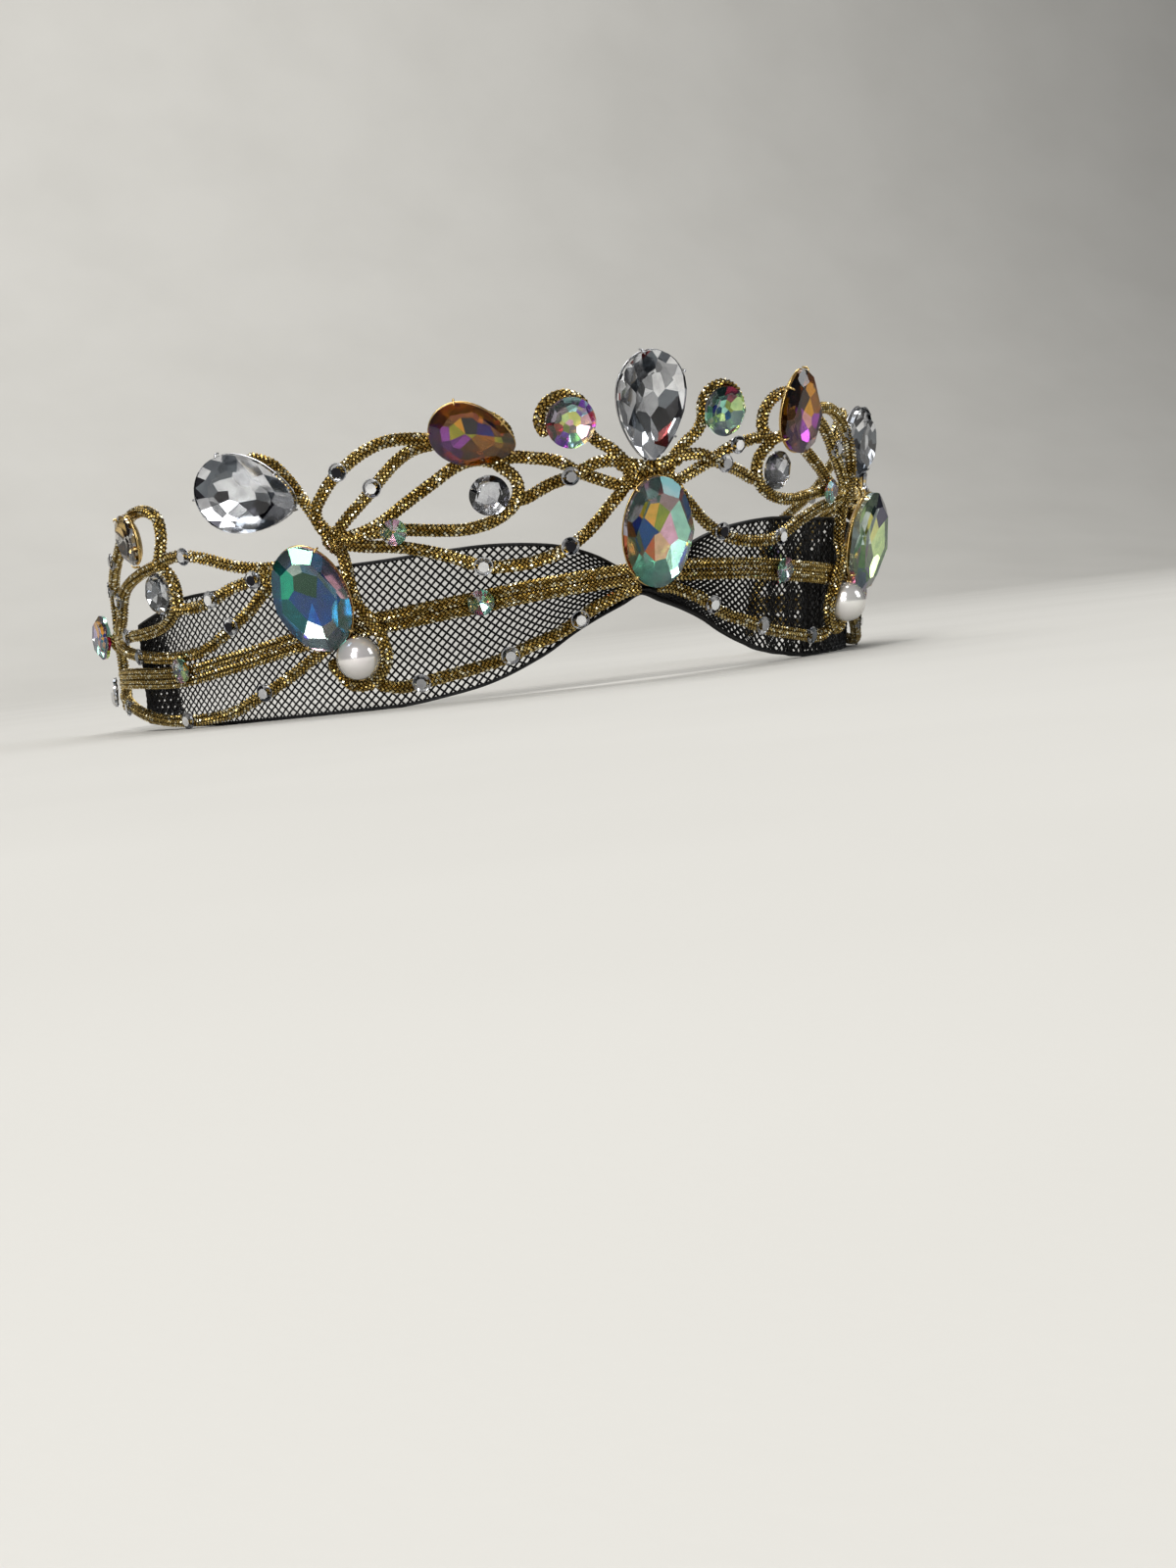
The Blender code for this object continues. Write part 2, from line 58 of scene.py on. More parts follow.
class Stop(NamedTuple):
    """A place on the wall: degrees from the front, millimetres up, millimetres out."""

    angle: float
    height: float
    out: float = 0.0


class CrystalSeat(NamedTuple):
    """Where a small crystal sits along a cord, and on which halves."""

    along: float
    halves: tuple = ("left", "right")


class Route(NamedTuple):
    """One cord: the places it runs through and the small crystals glued to it."""

    stops: tuple
    crystals: tuple = ()


class Shape(Enum):
    """The outline of a stone."""

    ROUND = "round"
    OVAL = "oval"
    DROP = "drop"


class Metal(Enum):
    """The metal of a setting."""

    GOLD = "gold_claw"
    SILVER = "silver_claw"


@dataclass(frozen=True)
class Wall:
    """The curved wall that carries the tiara, in metres and degrees."""

    half_width: float = 0.0792
    half_depth: float = 0.0785
    flare: float = 0.034
    forward_lean: float = 0.238
    origin_forward: float = 0.0386
    base_lift: float = 0.0006
    pinch_from: float = 72.0
    pinch: float = 0.00009
    fine_steps: int = 24

    def point(self, stop: Stop, side: int = 1) -> Vector:
        """Find a place on the wall.

        Args:
            stop: the place, in degrees and millimetres.
            side: 1 for the right half and -1 for the left.

        Returns:
            The point in metres.
        """
        angle = math.radians(stop.angle) * side
        height = stop.height * MM
        x = self.half_width * math.sin(angle)
        y = -self.half_depth * math.cos(angle)
        normal = Vector((x / self.half_width**2, y / self.half_depth**2, 0)).normalized()
        pinch = self.pinch * max(0.0, abs(stop.angle) - self.pinch_from)
        reach = stop.out * MM + self.flare * height - pinch
        forward = y + self.origin_forward - self.forward_lean * height
        return Vector((x, forward, height + self.base_lift)) + normal * reach

    def frame(
        self, stop: Stop, side: int = 1, turn: float = 0.0, yaw: float = 0.0
    ) -> Matrix:
        """Find the frame of a piece: X in the wall, turned upward, and Z out of the wall.

        Args:
            stop: the place of the piece.
            side: 1 for the right half and -1 for the left.
            turn: degrees from the direction that leads away from the middle.
            yaw: degrees that the piece faces toward the middle, off the wall's own direction.

        Returns:
            The frame as a matrix.
        """
        origin = self.point(stop, side)
        along = self.point(stop._replace(angle=stop.angle + 0.5), side)
        along -= self.point(stop._replace(angle=stop.angle - 0.5), side)
        up = self.point(stop._replace(height=stop.height + 0.5), side) - origin
        along.normalize()
        up = (up - along * up.dot(along)).normalized()
        turned = math.radians(turn)
        x_axis = along * math.cos(turned) + up * math.sin(turned)
        y_axis = up * math.cos(turned) - along * math.sin(turned)
        z_axis = x_axis.cross(y_axis)
        if z_axis.dot(self.point(stop._replace(out=stop.out + 1), side) - origin) < 0:
            y_axis = -y_axis
            z_axis = -z_axis
        facing = Matrix.Rotation(math.radians(yaw), 3, z_axis.cross(-along))
        found = (facing @ Matrix((x_axis, y_axis, z_axis)).transposed()).to_4x4()
        found.translation = origin
        return found

    def line(self, stops: tuple, side: int, step: float) -> list[Vector]:
        """Run a smooth line through places on the wall.

        Args:
            stops: the places in order.
            side: 1 for the right half and -1 for the left.
            step: the spacing of the points along the line, in metres.

        Returns:
            Points at that even spacing.
        """
        knots = [Vector(stop) for stop in stops]
        ends = [2 * knots[0] - knots[1], *knots, 2 * knots[-1] - knots[-2]]
        fine = []
        for before, start, finish, after in zip(ends, ends[1:], ends[2:], ends[3:]):
            for index in range(self.fine_steps):
                t = index / self.fine_steps
                blend = start * 2 + (finish - before) * t
                blend += (before * 2 - start * 5 + finish * 4 - after) * t**2
                blend += (start * 3 - before - finish * 3 + after) * t**3
                fine.append(self.point(Stop(*(blend * 0.5)), side))
        fine.append(self.point(Stop(*knots[-1]), side))
        return even_steps(fine, step)


def even_steps(points: list[Vector], step: float) -> list[Vector]:
    """Space the points of a line evenly.

    Args:
        points: the line's points, in order.
        step: the spacing wanted, in metres.

    Returns:
        The line's points at the nearest even spacing.
    """
    table = np.array([tuple(point) for point in points])
    runs = np.concatenate([[0], np.cumsum(np.linalg.norm(np.diff(table, axis=0), axis=1))])
    count = max(2, round(runs[-1] / step)) + 1
    marks = np.linspace(0, runs[-1], count)
    return [Vector([np.interp(mark, runs, table[:, axis]) for axis in range(3)]) for mark in marks]


WALL = Wall()

RAIL = (
    Stop(0, 18.8), Stop(8, 18.4), Stop(16, 17.7), Stop(24, 16.6), Stop(35, 15.2), Stop(46, 13.6),
    Stop(55, 11.6), Stop(60, 10.7), Stop(65, 9.8), Stop(71, 9.4), Stop(82, 9.9), Stop(91, 10.1),
    Stop(100.5, 10.2), Stop(102.9, 10.4),
)

# Cords of one half, by the CAD node that they are sewn into
ROUTES = {
    "crossing_cords": (
        Route((
            Stop(3.0, 38.0), Stop(5.2, 40.9), Stop(7.2, 42.8, -0.6), Stop(8.3, 45.0, -1.0),
            Stop(8.4, 47.6, -1.1), Stop(9.4, 49.9, -1.1), Stop(11.6, 50.9, -1.1),
            Stop(13.7, 49.6, -1.1), Stop(14.5, 46.9, -1.1), Stop(13.6, 44.4, -1.1),
        )),
        Route((
            Stop(3.4, 38.8), Stop(7.3, 38.8, 0.6), Stop(10.5, 37.0, 0.6), Stop(13.5, 35.8),
            Stop(16.0, 34.2), Stop(17.6, 33.6, -0.3),
        ), (CrystalSeat(0.52),)),
        Route((
            Stop(4.4, 34.6), Stop(7.5, 36.4, -0.6), Stop(9.6, 37.6, -0.6), Stop(11.7, 39.3),
            Stop(13.6, 40.2), Stop(15.9, 40.8), Stop(17.8, 41.2, -0.2), Stop(19.6, 41.0, -0.4),
        ), (CrystalSeat(0.60, ("right",)),)),
        Route((
            Stop(3.4, 38.8), Stop(2.8, 36.0), Stop(3.8, 33.6), Stop(5.6, 31.0), Stop(7.5, 28.2),
            Stop(9.5, 25.9), Stop(12.2, 23.9), Stop(15, 22.9), Stop(18, 22.5), Stop(22, 22.9),
            Stop(27, 25.7), Stop(32.5, 27.9), Stop(37.6, 28.9), Stop(40.4, 29.8, -0.3),
        ), (CrystalSeat(0.32), CrystalSeat(0.58))),
    ),
    "lower_scallop": (
        Route((
            Stop(1.2, 15.9, 0.3), Stop(2.6, 15.9, 0.1), Stop(4.1, 15.4), Stop(5.8, 14.4),
            Stop(7.9, 13.3), Stop(10, 11.4), Stop(12.6, 9.5),
            Stop(15.8, 8.1), Stop(20, 6.1), Stop(24.2, 4.9), Stop(28.4, 4.0), Stop(31.5, 3.3),
            Stop(34.0, 3.2, 0.2), Stop(36.4, 4.2, 0.6),
        ), (CrystalSeat(0.25), CrystalSeat(0.52), CrystalSeat(0.84))),
    ),
    "pearl_loop": (
        Route((
            Stop(40.6, 29.0), Stop(40.0, 25.6), Stop(39.4, 21.5, 0.2), Stop(38.2, 18.4, 1.6),
            Stop(36.9, 16.4, 2.2), Stop(35.7, 13.8, 2.2), Stop(35.0, 11.2, 1.9),
            Stop(34.9, 8.4, 1.4), Stop(35.8, 5.8, 1.2), Stop(37.6, 4.3, 1.1), Stop(39.8, 4.6, 1.0),
            Stop(41.4, 6.7, 0.7), Stop(42.8, 9.4, 0.2),
        )),
    ),
    "side_spray": (
        Route((
            Stop(41.3, 30.5), Stop(43.2, 33.2), Stop(43.8, 36.0), Stop(42.6, 38.9),
            Stop(41.2, 41.1), Stop(39.2, 43.2), Stop(36.8, 45.1), Stop(34, 46.3), Stop(31, 46.3),
            Stop(27.5, 45.6),
        ), (CrystalSeat(0.44),)),
        Route((
            Stop(41.3, 30.5), Stop(40.2, 33.1), Stop(38.4, 35.4), Stop(36.5, 37.7),
            Stop(34.6, 40.4), Stop(32.6, 42.8), Stop(30.4, 44.4), Stop(27.5, 45.0),
        ), (CrystalSeat(0.46),)),
        Route((
            Stop(41.3, 30.5), Stop(37.6, 31.3), Stop(35, 32.6), Stop(32.2, 35.0), Stop(28.2, 38.3),
            Stop(25.3, 40.6), Stop(22.7, 41.4), Stop(20.4, 40.6),
        )),
        Route((
            Stop(41.3, 30.5), Stop(38.4, 30.8), Stop(34.5, 31.0), Stop(31.6, 30.8),
            Stop(28.4, 30.2), Stop(24.7, 29.7), Stop(21.6, 30.2), Stop(19.2, 31.6),
            Stop(17.8, 33.5), Stop(17.4, 35.8), Stop(18.1, 38.1), Stop(20.4, 40.6),
        )),
        Route((
            Stop(20.8, 40.6), Stop(19.3, 41.6, -0.2), Stop(18.5, 43.6, -0.4),
            Stop(19.1, 46.4, -0.4), Stop(21.2, 48.6, -0.5), Stop(24.0, 49.4, -0.6),
        )),
        Route((
            Stop(41.3, 30.5), Stop(43.6, 33.6, -1.3), Stop(45.6, 36.2, -3.3),
            Stop(47.8, 39.4, -4.8), Stop(49.8, 42.6, -5.2), Stop(52.4, 45.8, -5.2),
            Stop(56.2, 47.6, -5.2),
        )),
    ),
    "outer_fan": (
        Route((
            Stop(44.2, 27.0), Stop(50.2, 27.2), Stop(53.5, 27.5), Stop(57.5, 28.6),
            Stop(61.8, 30.4), Stop(66, 31.6), Stop(69.0, 31.7), Stop(72.0, 31.0),
        ), (CrystalSeat(0.76),)),
        Route((
            Stop(44.4, 26.4), Stop(51.4, 25.8), Stop(54.5, 25.3), Stop(57.9, 24.4),
            Stop(60.5, 23.1), Stop(63.7, 22.1), Stop(66.4, 21.9), Stop(69.0, 22.2),
        ), (CrystalSeat(0.36), CrystalSeat(0.68))),
        Route((
            Stop(44.6, 27.2), Stop(49.5, 25.4), Stop(52.1, 23.1), Stop(54.6, 20.3),
            Stop(57.5, 17.8), Stop(60.2, 15.8), Stop(63.7, 13.8), Stop(68.2, 13.1),
        ), (CrystalSeat(0.58),)),
    ),
    "outer_scallop": (
        Route((
            Stop(42.6, 12.2), Stop(48.3, 7.8), Stop(50.3, 6.4), Stop(52.7, 4.9), Stop(55.2, 3.6),
            Stop(58.9, 1.8), Stop(63.8, 1.0), Stop(70.4, 1.0), Stop(78.5, 2.0), Stop(86.6, 3.9),
            Stop(92, 5.3), Stop(97, 6.3), Stop(100.2, 6.7), Stop(103.4, 6.9),
        ), (CrystalSeat(0.20), CrystalSeat(0.45), CrystalSeat(0.77))),
    ),
    "end_spray": (
        Route((
            Stop(67.7, 13.2), Stop(71, 13.1), Stop(78.7, 13.9), Stop(86.8, 15.1),
            Stop(93.7, 16.8), Stop(98.7, 17.6),
        ), (CrystalSeat(0.40),)),
        Route((
            Stop(98.9, 18.2), Stop(92, 18.1), Stop(86.4, 18.3), Stop(78, 18.4), Stop(72, 19.4),
            Stop(68.9, 22.1), Stop(68.6, 25.6), Stop(69.8, 28.6), Stop(72.3, 30.8),
        ), (CrystalSeat(0.36),)),
        Route((
            Stop(72.3, 30.8), Stop(79.5, 29.4), Stop(85.3, 27.5), Stop(88.3, 24.9),
            Stop(90.4, 22.0), Stop(95, 19.6), Stop(98.8, 18.7),
        ), (CrystalSeat(0.56),)),
        Route((
            Stop(72.3, 30.8), Stop(71.2, 34.1), Stop(70.9, 36.9), Stop(71.8, 39.6),
            Stop(75, 41.1), Stop(79.3, 40.9), Stop(82.8, 38.8), Stop(86, 35.6), Stop(91, 32.4),
            Stop(96, 29.4), Stop(99.4, 26.2), Stop(100.8, 22.8), Stop(99.8, 18.6),
        ), (CrystalSeat(0.60), CrystalSeat(0.80))),
        Route((
            Stop(99.6, 17.3), Stop(101.8, 14.8), Stop(103.0, 11.8), Stop(103.6, 7.8),
            Stop(103.8, 3.4),
        )),
    ),
}

# Where cords are wound together: the place, the turn of the winding, and its length in millimetres
WINDINGS = {
    "side_spray": ((Stop(41.3, 30.5), 52.0, 3.6),),
    "end_spray": ((Stop(99.2, 17.8), 0.0, 3.4),),
}


class ShaderTree:
    """Adds and wires the nodes of one material or shader group."""

    def __init__(self, tree: bpy.types.NodeTree) -> None:
        """Keep the tree that is drawn in."""
        self.tree = tree

    def add(self, kind: str, **values: object) -> bpy.types.Node:
        """Add a node.

        Args:
            kind: the node's type name.
            values: the node's own settings.

        Returns:
            The new node.
        """
        node = self.tree.nodes.new(kind)
        for name, value in values.items():
            setattr(node, name, value)
        return node

    def wire(self, source: bpy.types.NodeSocket, target: bpy.types.NodeSocket) -> None:
        """Link one socket to another."""
        self.tree.links.new(source, target)

    def feed(self, target: bpy.types.NodeSocket, value: object) -> None:
        """Give a socket a plain value or link another socket to it."""
        if isinstance(value, bpy.types.NodeSocket):
            self.wire(value, target)
        else:
            target.default_value = value

    def math(self, operation: str, first: object, second: object = 0.0) -> bpy.types.NodeSocket:
        """Do one sum on values or sockets.

        Args:
            operation: the name of the sum.
            first: the first number.
            second: the second number.

        Returns:
            The result's socket.
        """
        node = self.add("ShaderNodeMath", operation=operation)
        self.feed(node.inputs[0], first)
        self.feed(node.inputs[1], second)
        return node.outputs[0]

    def blend(self, share: object, first: object, second: object) -> bpy.types.NodeSocket:
        """Mix two colours.

        Args:
            share: how much of the second colour shows.
            first: the first colour.
            second: the second colour.

        Returns:
            The mixed colour's socket.
        """
        node = self.add("ShaderNodeMix", data_type="RGBA")
        self.feed(node.inputs[0], share)
        self.feed(node.inputs[6], first)
        self.feed(node.inputs[7], second)
        return node.outputs[2]

    def choose(self, share: object, first: object, second: object) -> bpy.types.NodeSocket:
        """Mix two values.

        Args:
            share: how much of the second value counts.
            first: the first value.
            second: the second value.

        Returns:
            The mixed value's socket.
        """
        node = self.add("ShaderNodeMix", data_type="FLOAT")
        self.feed(node.inputs[0], share)
        self.feed(node.inputs[2], first)
        self.feed(node.inputs[3], second)
        return node.outputs[0]

    def spread(
        self, value: object, low: float, high: float, first: float = 0.0, second: float = 1.0
    ) -> bpy.types.NodeSocket:
        """Stretch a value from one range to another.

        Args:
            value: the value to stretch.
            low: where the first range starts.
            high: where the first range ends.
            first: what low becomes.
            second: what high becomes.

        Returns:
            The new value's socket.
        """
        node = self.add("ShaderNodeMapRange")
        for index, entry in enumerate((value, low, high, first, second)):
            self.feed(node.inputs[index], entry)
        return node.outputs[0]

    def noise(self, scale: float, detail: float = 2.0) -> bpy.types.NodeSocket:
        """Make a soft noise on the object's own coordinates.

        Args:
            scale: how many spots there are in a metre.
            detail: how fine the noise gets.

        Returns:
            The noise's socket.
        """
        place = self.add("ShaderNodeTexCoord")
        node = self.add("ShaderNodeTexNoise")
        self.wire(place.outputs["Object"], node.inputs["Vector"])
        node.inputs["Scale"].default_value = scale
        node.inputs["Detail"].default_value = detail
        return node.outputs["Fac"]

    def bump(self, height: object, strength: float, distance: float) -> bpy.types.NodeSocket:
        """Turn a height into a normal.

        Args:
            height: the height's socket.
            strength: how much of the relief shows.
            distance: how high the relief is, in metres.

        Returns:
            The normal's socket.
        """
        node = self.add("ShaderNodeBump")
        self.feed(node.inputs["Height"], height)
        node.inputs["Strength"].default_value = strength
        node.inputs["Distance"].default_value = distance
        return node.outputs["Normal"]


def group_sockets(group: bpy.types.NodeTree, inputs: dict, outputs: dict) -> None:
    """Give a shader group its named sockets.

    Args:
        group: the group.
        inputs: socket types by name, for what goes in.
        outputs: socket types by name, for what comes out.
    """
    for name, kind in inputs.items():
        group.interface.new_socket(name=name, in_out="INPUT", socket_type=kind)
    for name, kind in outputs.items():
        group.interface.new_socket(name=name, in_out="OUTPUT", socket_type=kind)


def plait_group() -> bpy.types.NodeTree:
    """Make the shader group of a plait: thread lines that change direction from cell to cell.

    Returns:
        The group. Its Vector input counts cells, its Seam output is 1 between cells, its Threads
        output is the relief of the threads, and its Cell output is one random value a cell.
    """
    found = bpy.data.node_groups.get("plait")
    if found:
        return found
    group = bpy.data.node_groups.new("plait", "ShaderNodeTree")
    group_sockets(
        group,
        {"Vector": "NodeSocketVector", "Thread count": "NodeSocketFloat"},
        {"Seam": "NodeSocketFloat", "Threads": "NodeSocketFloat", "Cell": "NodeSocketFloat"},
    )
    draw = ShaderTree(group)
    entry = draw.add("NodeGroupInput")
    leave = draw.add("NodeGroupOutput")
    split = draw.add("ShaderNodeSeparateXYZ")
    draw.wire(entry.outputs["Vector"], split.inputs[0])
    first = draw.math("ADD", split.outputs[0], split.outputs[1])
    second = draw.math("SUBTRACT", split.outputs[0], split.outputs[1])
    first_cell = draw.math("ROUND", first)
    second_cell = draw.math("ROUND", second)
    first_part = draw.math("SUBTRACT", first, first_cell)
    second_part = draw.math("SUBTRACT", second, second_cell)
    turn = draw.math("PINGPONG", draw.math("ADD", first_cell, second_cell), 1.0)
    across = draw.choose(turn, first_part, second_part)
    along = draw.choose(turn, second_part, first_part)
    sides = draw.spread(draw.math("ABSOLUTE", across), 0.20, 0.40)
    ends = draw.spread(draw.math("ABSOLUTE", along), 0.36, 0.5, 0.0, 0.8)
    draw.wire(draw.math("MAXIMUM", sides, ends), leave.inputs["Seam"])
    wave = draw.math("MULTIPLY", across, entry.outputs["Thread count"])
    draw.wire(draw.math("PINGPONG", wave, 0.5), leave.inputs["Threads"])
    pair = draw.add("ShaderNodeCombineXYZ")
    draw.wire(first_cell, pair.inputs[0])
    draw.wire(second_cell, pair.inputs[1])
    chance = draw.add("ShaderNodeTexWhiteNoise", noise_dimensions="2D")
    draw.wire(pair.outputs[0], chance.inputs["Vector"])
    draw.wire(chance.outputs["Value"], leave.inputs["Cell"])
    return group


def handling_group() -> bpy.types.NodeTree:
    """Make the shader group of handling: soft smudges and a finer haze of dust.

    Returns:
        The group, with a Smudge output and a Dust output from 0 to 1.
    """
    found = bpy.data.node_groups.get("handling")
    if found:
        return found
    group = bpy.data.node_groups.new("handling", "ShaderNodeTree")
    group_sockets(
        group, {"Dust amount": "NodeSocketFloat"},
        {"Smudge": "NodeSocketFloat", "Dust": "NodeSocketFloat"})
    draw = ShaderTree(group)
    entry = draw.add("NodeGroupInput")
    leave = draw.add("NodeGroupOutput")
    draw.wire(draw.spread(draw.noise(240, 3), 0.4, 0.65), leave.inputs["Smudge"])
    specks = draw.spread(draw.noise(2600, 2), 0.55, 0.75)
    draw.wire(draw.math("MULTIPLY", specks, entry.outputs["Dust amount"]), leave.inputs["Dust"])
    return group


def add_handling(draw: ShaderTree, dust: float) -> bpy.types.Node:
    """Place the shader group of handling in a material.

    Args:
        draw: the material's drawing helper.
        dust: how much dust lies on the surface, from 0 to 1.

    Returns:
        The group's node.
    """
    handling = draw.add("ShaderNodeGroup", node_tree=handling_group())
    handling.inputs["Dust amount"].default_value = dust
    return handling


def new_material(name: str) -> tuple[bpy.types.Material, ShaderTree, bpy.types.Node]:
    """Start a material.

    Args:
        name: the material's name.

    Returns:
        The material, its drawing helper and its shader.
    """
    material = bpy.data.materials.new(name)
    material.use_nodes = True
    draw = ShaderTree(material.node_tree)
    return material, draw, material.node_tree.nodes["Principled BSDF"]


@dataclass(frozen=True)
class BraidFinish:
    """Braided metal thread, bright on each cell, with painted glints on a few cells and painted
    shade in dark brown between cells.
    """

    name: str = "gold_cord"
    # painted highlight: the near-white metal colour of the glinting cells
    painted_glint: tuple = (1.0, 0.94, 0.70, 1)
    bright: tuple = (0.66, 0.50, 0.19, 1)
    deep: tuple = (0.28, 0.175, 0.036, 1)
    # painted shade: the dark brown laid where the cells meet, standing in for shade in the plait's
    # crevices
    seam: tuple = (0.016, 0.009, 0.002, 1)

    def material(self) -> bpy.types.Material:
        """Return the material, made once."""
        found = bpy.data.materials.get(self.name + "_braided")
        if found:
            return found
        material, draw, shader = new_material(self.name + "_braided")
        plait = draw.add("ShaderNodeGroup", node_tree=plait_group())
        plait.inputs["Thread count"].default_value = 5.0
        chart = draw.add("ShaderNodeUVMap", uv_map="plait")
        draw.wire(chart.outputs[0], plait.inputs["Vector"])
        handling = add_handling(draw, 0.3)
        tone = draw.math("ADD", plait.outputs["Cell"], draw.noise(120, 2))
        cell = draw.blend(draw.spread(tone, 0.55, 1.35), self.bright, self.deep)
        # Painted glints: the cells with the lowest random value take the near-white colour, standing
        # in for sparkles of light
        painted_glint_share = draw.spread(plait.outputs["Cell"], 0.20, 0.10)
        cell = draw.blend(painted_glint_share, cell, self.painted_glint)
        # Painted shade: the Seam mask darkens the gaps between cells toward dark brown
        draw.wire(
            draw.blend(plait.outputs["Seam"], cell, self.seam), shader.inputs["Base Color"])
        rough = draw.math("MULTIPLY", plait.outputs["Cell"], 0.12)
        rough = draw.math("ADD", rough, 0.10)
        smudge = draw.math("MULTIPLY", handling.outputs["Smudge"], 0.08)
        draw.wire(draw.math("ADD", rough, smudge), shader.inputs["Roughness"])
        shader.inputs["Metallic"].default_value = 1.0
        draw.wire(draw.bump(plait.outputs["Threads"], 0.5, 0.00006), shader.inputs["Normal"])
        return material


@dataclass(frozen=True)
class ClawFinish:
    """Stamped and plated metal with smudges and fine pits."""

    name: str
    colour: tuple
    worn: tuple
    roughness: float = 0.2

    def material(self) -> bpy.types.Material:
        """Return the material, made once."""
        found = bpy.data.materials.get(self.name + "_plated")
        if found:
            return found
        material, draw, shader = new_material(self.name + "_plated")
        handling = add_handling(draw, 0.5)
        draw.wire(
            draw.blend(handling.outputs["Smudge"], self.colour, self.worn),
            shader.inputs["Base Color"])
        rough = draw.math("MULTIPLY", handling.outputs["Smudge"], 0.14)
        draw.wire(draw.math("ADD", rough, self.roughness), shader.inputs["Roughness"])
        shader.inputs["Metallic"].default_value = 1.0
        draw.wire(draw.bump(draw.noise(1800, 3), 0.25, 0.00004), shader.inputs["Normal"])
        return material


@dataclass(frozen=True)
class GlassFinish:
    """Cut glass over a mirror foil: the crown is clear or tinted, and each foil facet has a tone
    with a painted reflection.
    """

    name: str
    body: tuple
    # Tones of the outer facets and of the heart: painted reflections of light and dark surroundings,
    # over the coating's or glass's colour where the stone has one
    foils: tuple
    heart_tones_and_painted_reflections: tuple = ()
    film: float = 0.0
    scatter: bool = False
    foil_roughness: float = 0.11

    def crown(self) -> bpy.types.Material:
        """Return the material of the glass above the foil, made once."""
        found = bpy.data.materials.get(self.name + "_crown")
        if found:
            return found
        material, draw, shader = new_material(self.name + "_crown")
        handling = add_handling(draw, 0.4)
        haze = tuple(min(1.0, 0.25 + 0.75 * part) for part in self.body[:3]) + (1,)
        draw.wire(
            draw.blend(handling.outputs["Dust"], self.body, haze), shader.inputs["Base Color"])
        rough = draw.math("MULTIPLY", handling.outputs["Smudge"], 0.012)
        draw.wire(rough, shader.inputs["Roughness"])
        shader.inputs["Transmission Weight"].default_value = 1.0
        shader.inputs["IOR"].default_value = 1.56
        if self.film:
            shader.inputs["Thin Film Thickness"].default_value = self.film
            shader.inputs["Thin Film IOR"].default_value = 1.72
        return material

    def foil(self) -> bpy.types.Material:
        """Return the material of the mirror foil, made once. Each facet has its own tone, a painted
        reflection.
        """
        found = bpy.data.materials.get(self.name + "_foil")
        if found:
            return found
        material, draw, shader = new_material(self.name + "_foil")
        tone = draw.add("ShaderNodeVertexColor", layer_name="facet")
        cloud = draw.spread(draw.noise(420, 2), 0.35, 0.7)
        deeper = draw.add("ShaderNodeHueSaturation")
        deeper.inputs["Value"].default_value = 0.72
        deeper.inputs["Hue"].default_value = 0.53
        draw.wire(tone.outputs["Color"], deeper.inputs["Color"])
        draw.wire(
            draw.blend(cloud, tone.outputs["Color"], deeper.outputs[0]),
            shader.inputs["Base Color"])
        shader.inputs["Metallic"].default_value = 0.88
        shader.inputs["Roughness"].default_value = self.foil_roughness
        return material


@dataclass(frozen=True)
class PearlFinish:
    """A lacquered glass pearl: ivory with soft rose patches, and a painted dark reflection toward
    its rim.
    """

    name: str = "pearl_coat"
    ivory: tuple = (0.90, 0.89, 0.86, 1)
    rose: tuple = (0.88, 0.84, 0.84, 1)
    # painted reflection: the darker grey that the pearl takes toward its rim
    rim: tuple = (0.46, 0.44, 0.38, 1)

    def material(self) -> bpy.types.Material:
        """Return the material, made once."""
        found = bpy.data.materials.get(self.name + "_lacquer")
        if found:
            return found
        material, draw, shader = new_material(self.name + "_lacquer")
        cloud = draw.spread(draw.noise(160, 2), 0.35, 0.7)
        body = draw.blend(cloud, self.ivory, self.rose)
        # Painted reflection: the colour darkens toward the rim as the surface turns from the view
        facing = draw.add("ShaderNodeLayerWeight")
        facing.inputs["Blend"].default_value = 0.35
        draw.wire(
            draw.blend(facing.outputs["Facing"], body, self.rim), shader.inputs["Base Color"])
        handling = add_handling(draw, 0.2)
        rough = draw.math("MULTIPLY", handling.outputs["Smudge"], 0.05)
        draw.wire(draw.math("ADD", rough, 0.13), shader.inputs["Roughness"])
        shader.inputs["Metallic"].default_value = 0.62
        shader.inputs["Coat Weight"].default_value = 1.0
        shader.inputs["Coat Roughness"].default_value = 0.04
        draw.wire(draw.bump(draw.noise(900, 2), 0.08, 0.00003), shader.inputs["Normal"])
        return material


@dataclass(frozen=True)
class HorsehairFinish:
    """Black nylon monofilament, slightly shiny, with a faint lint."""

    name: str = "black_net"
    black: tuple = (0.003, 0.003, 0.0035, 1)
    lint: tuple = (0.016, 0.015, 0.014, 1)

    def material(self) -> bpy.types.Material:
        """Return the material, made once."""
        found = bpy.data.materials.get(self.name + "_nylon")
        if found:
            return found
        material, draw, shader = new_material(self.name + "_nylon")
        handling = add_handling(draw, 0.6)
        draw.wire(
            draw.blend(handling.outputs["Dust"], self.black, self.lint),
            shader.inputs["Base Color"])
        rough = draw.math("MULTIPLY", handling.outputs["Smudge"], 0.2)
        draw.wire(draw.math("ADD", rough, 0.45), shader.inputs["Roughness"])
        shader.inputs["Specular IOR Level"].default_value = 0.25
        draw.wire(draw.bump(draw.noise(3000, 2), 0.3, 0.00002), shader.inputs["Normal"])
        return material


@dataclass(frozen=True)
class PaperFinish:
    """Pale studio paper for the floor and the backdrop."""

    name: str = "studio_paper"
    pale: tuple = (0.60, 0.59, 0.56, 1)
    shade: tuple = (0.57, 0.56, 0.53, 1)

    def material(self) -> bpy.types.Material:
        """Return the material, made once."""
        material, draw, shader = new_material(self.name)
        cloud = draw.spread(draw.noise(9, 3), 0.35, 0.7)
        draw.wire(draw.blend(cloud, self.pale, self.shade), shader.inputs["Base Color"])
        shader.inputs["Roughness"].default_value = 0.85
        draw.wire(draw.bump(draw.noise(1500, 2), 0.1, 0.0001), shader.inputs["Normal"])
        return material


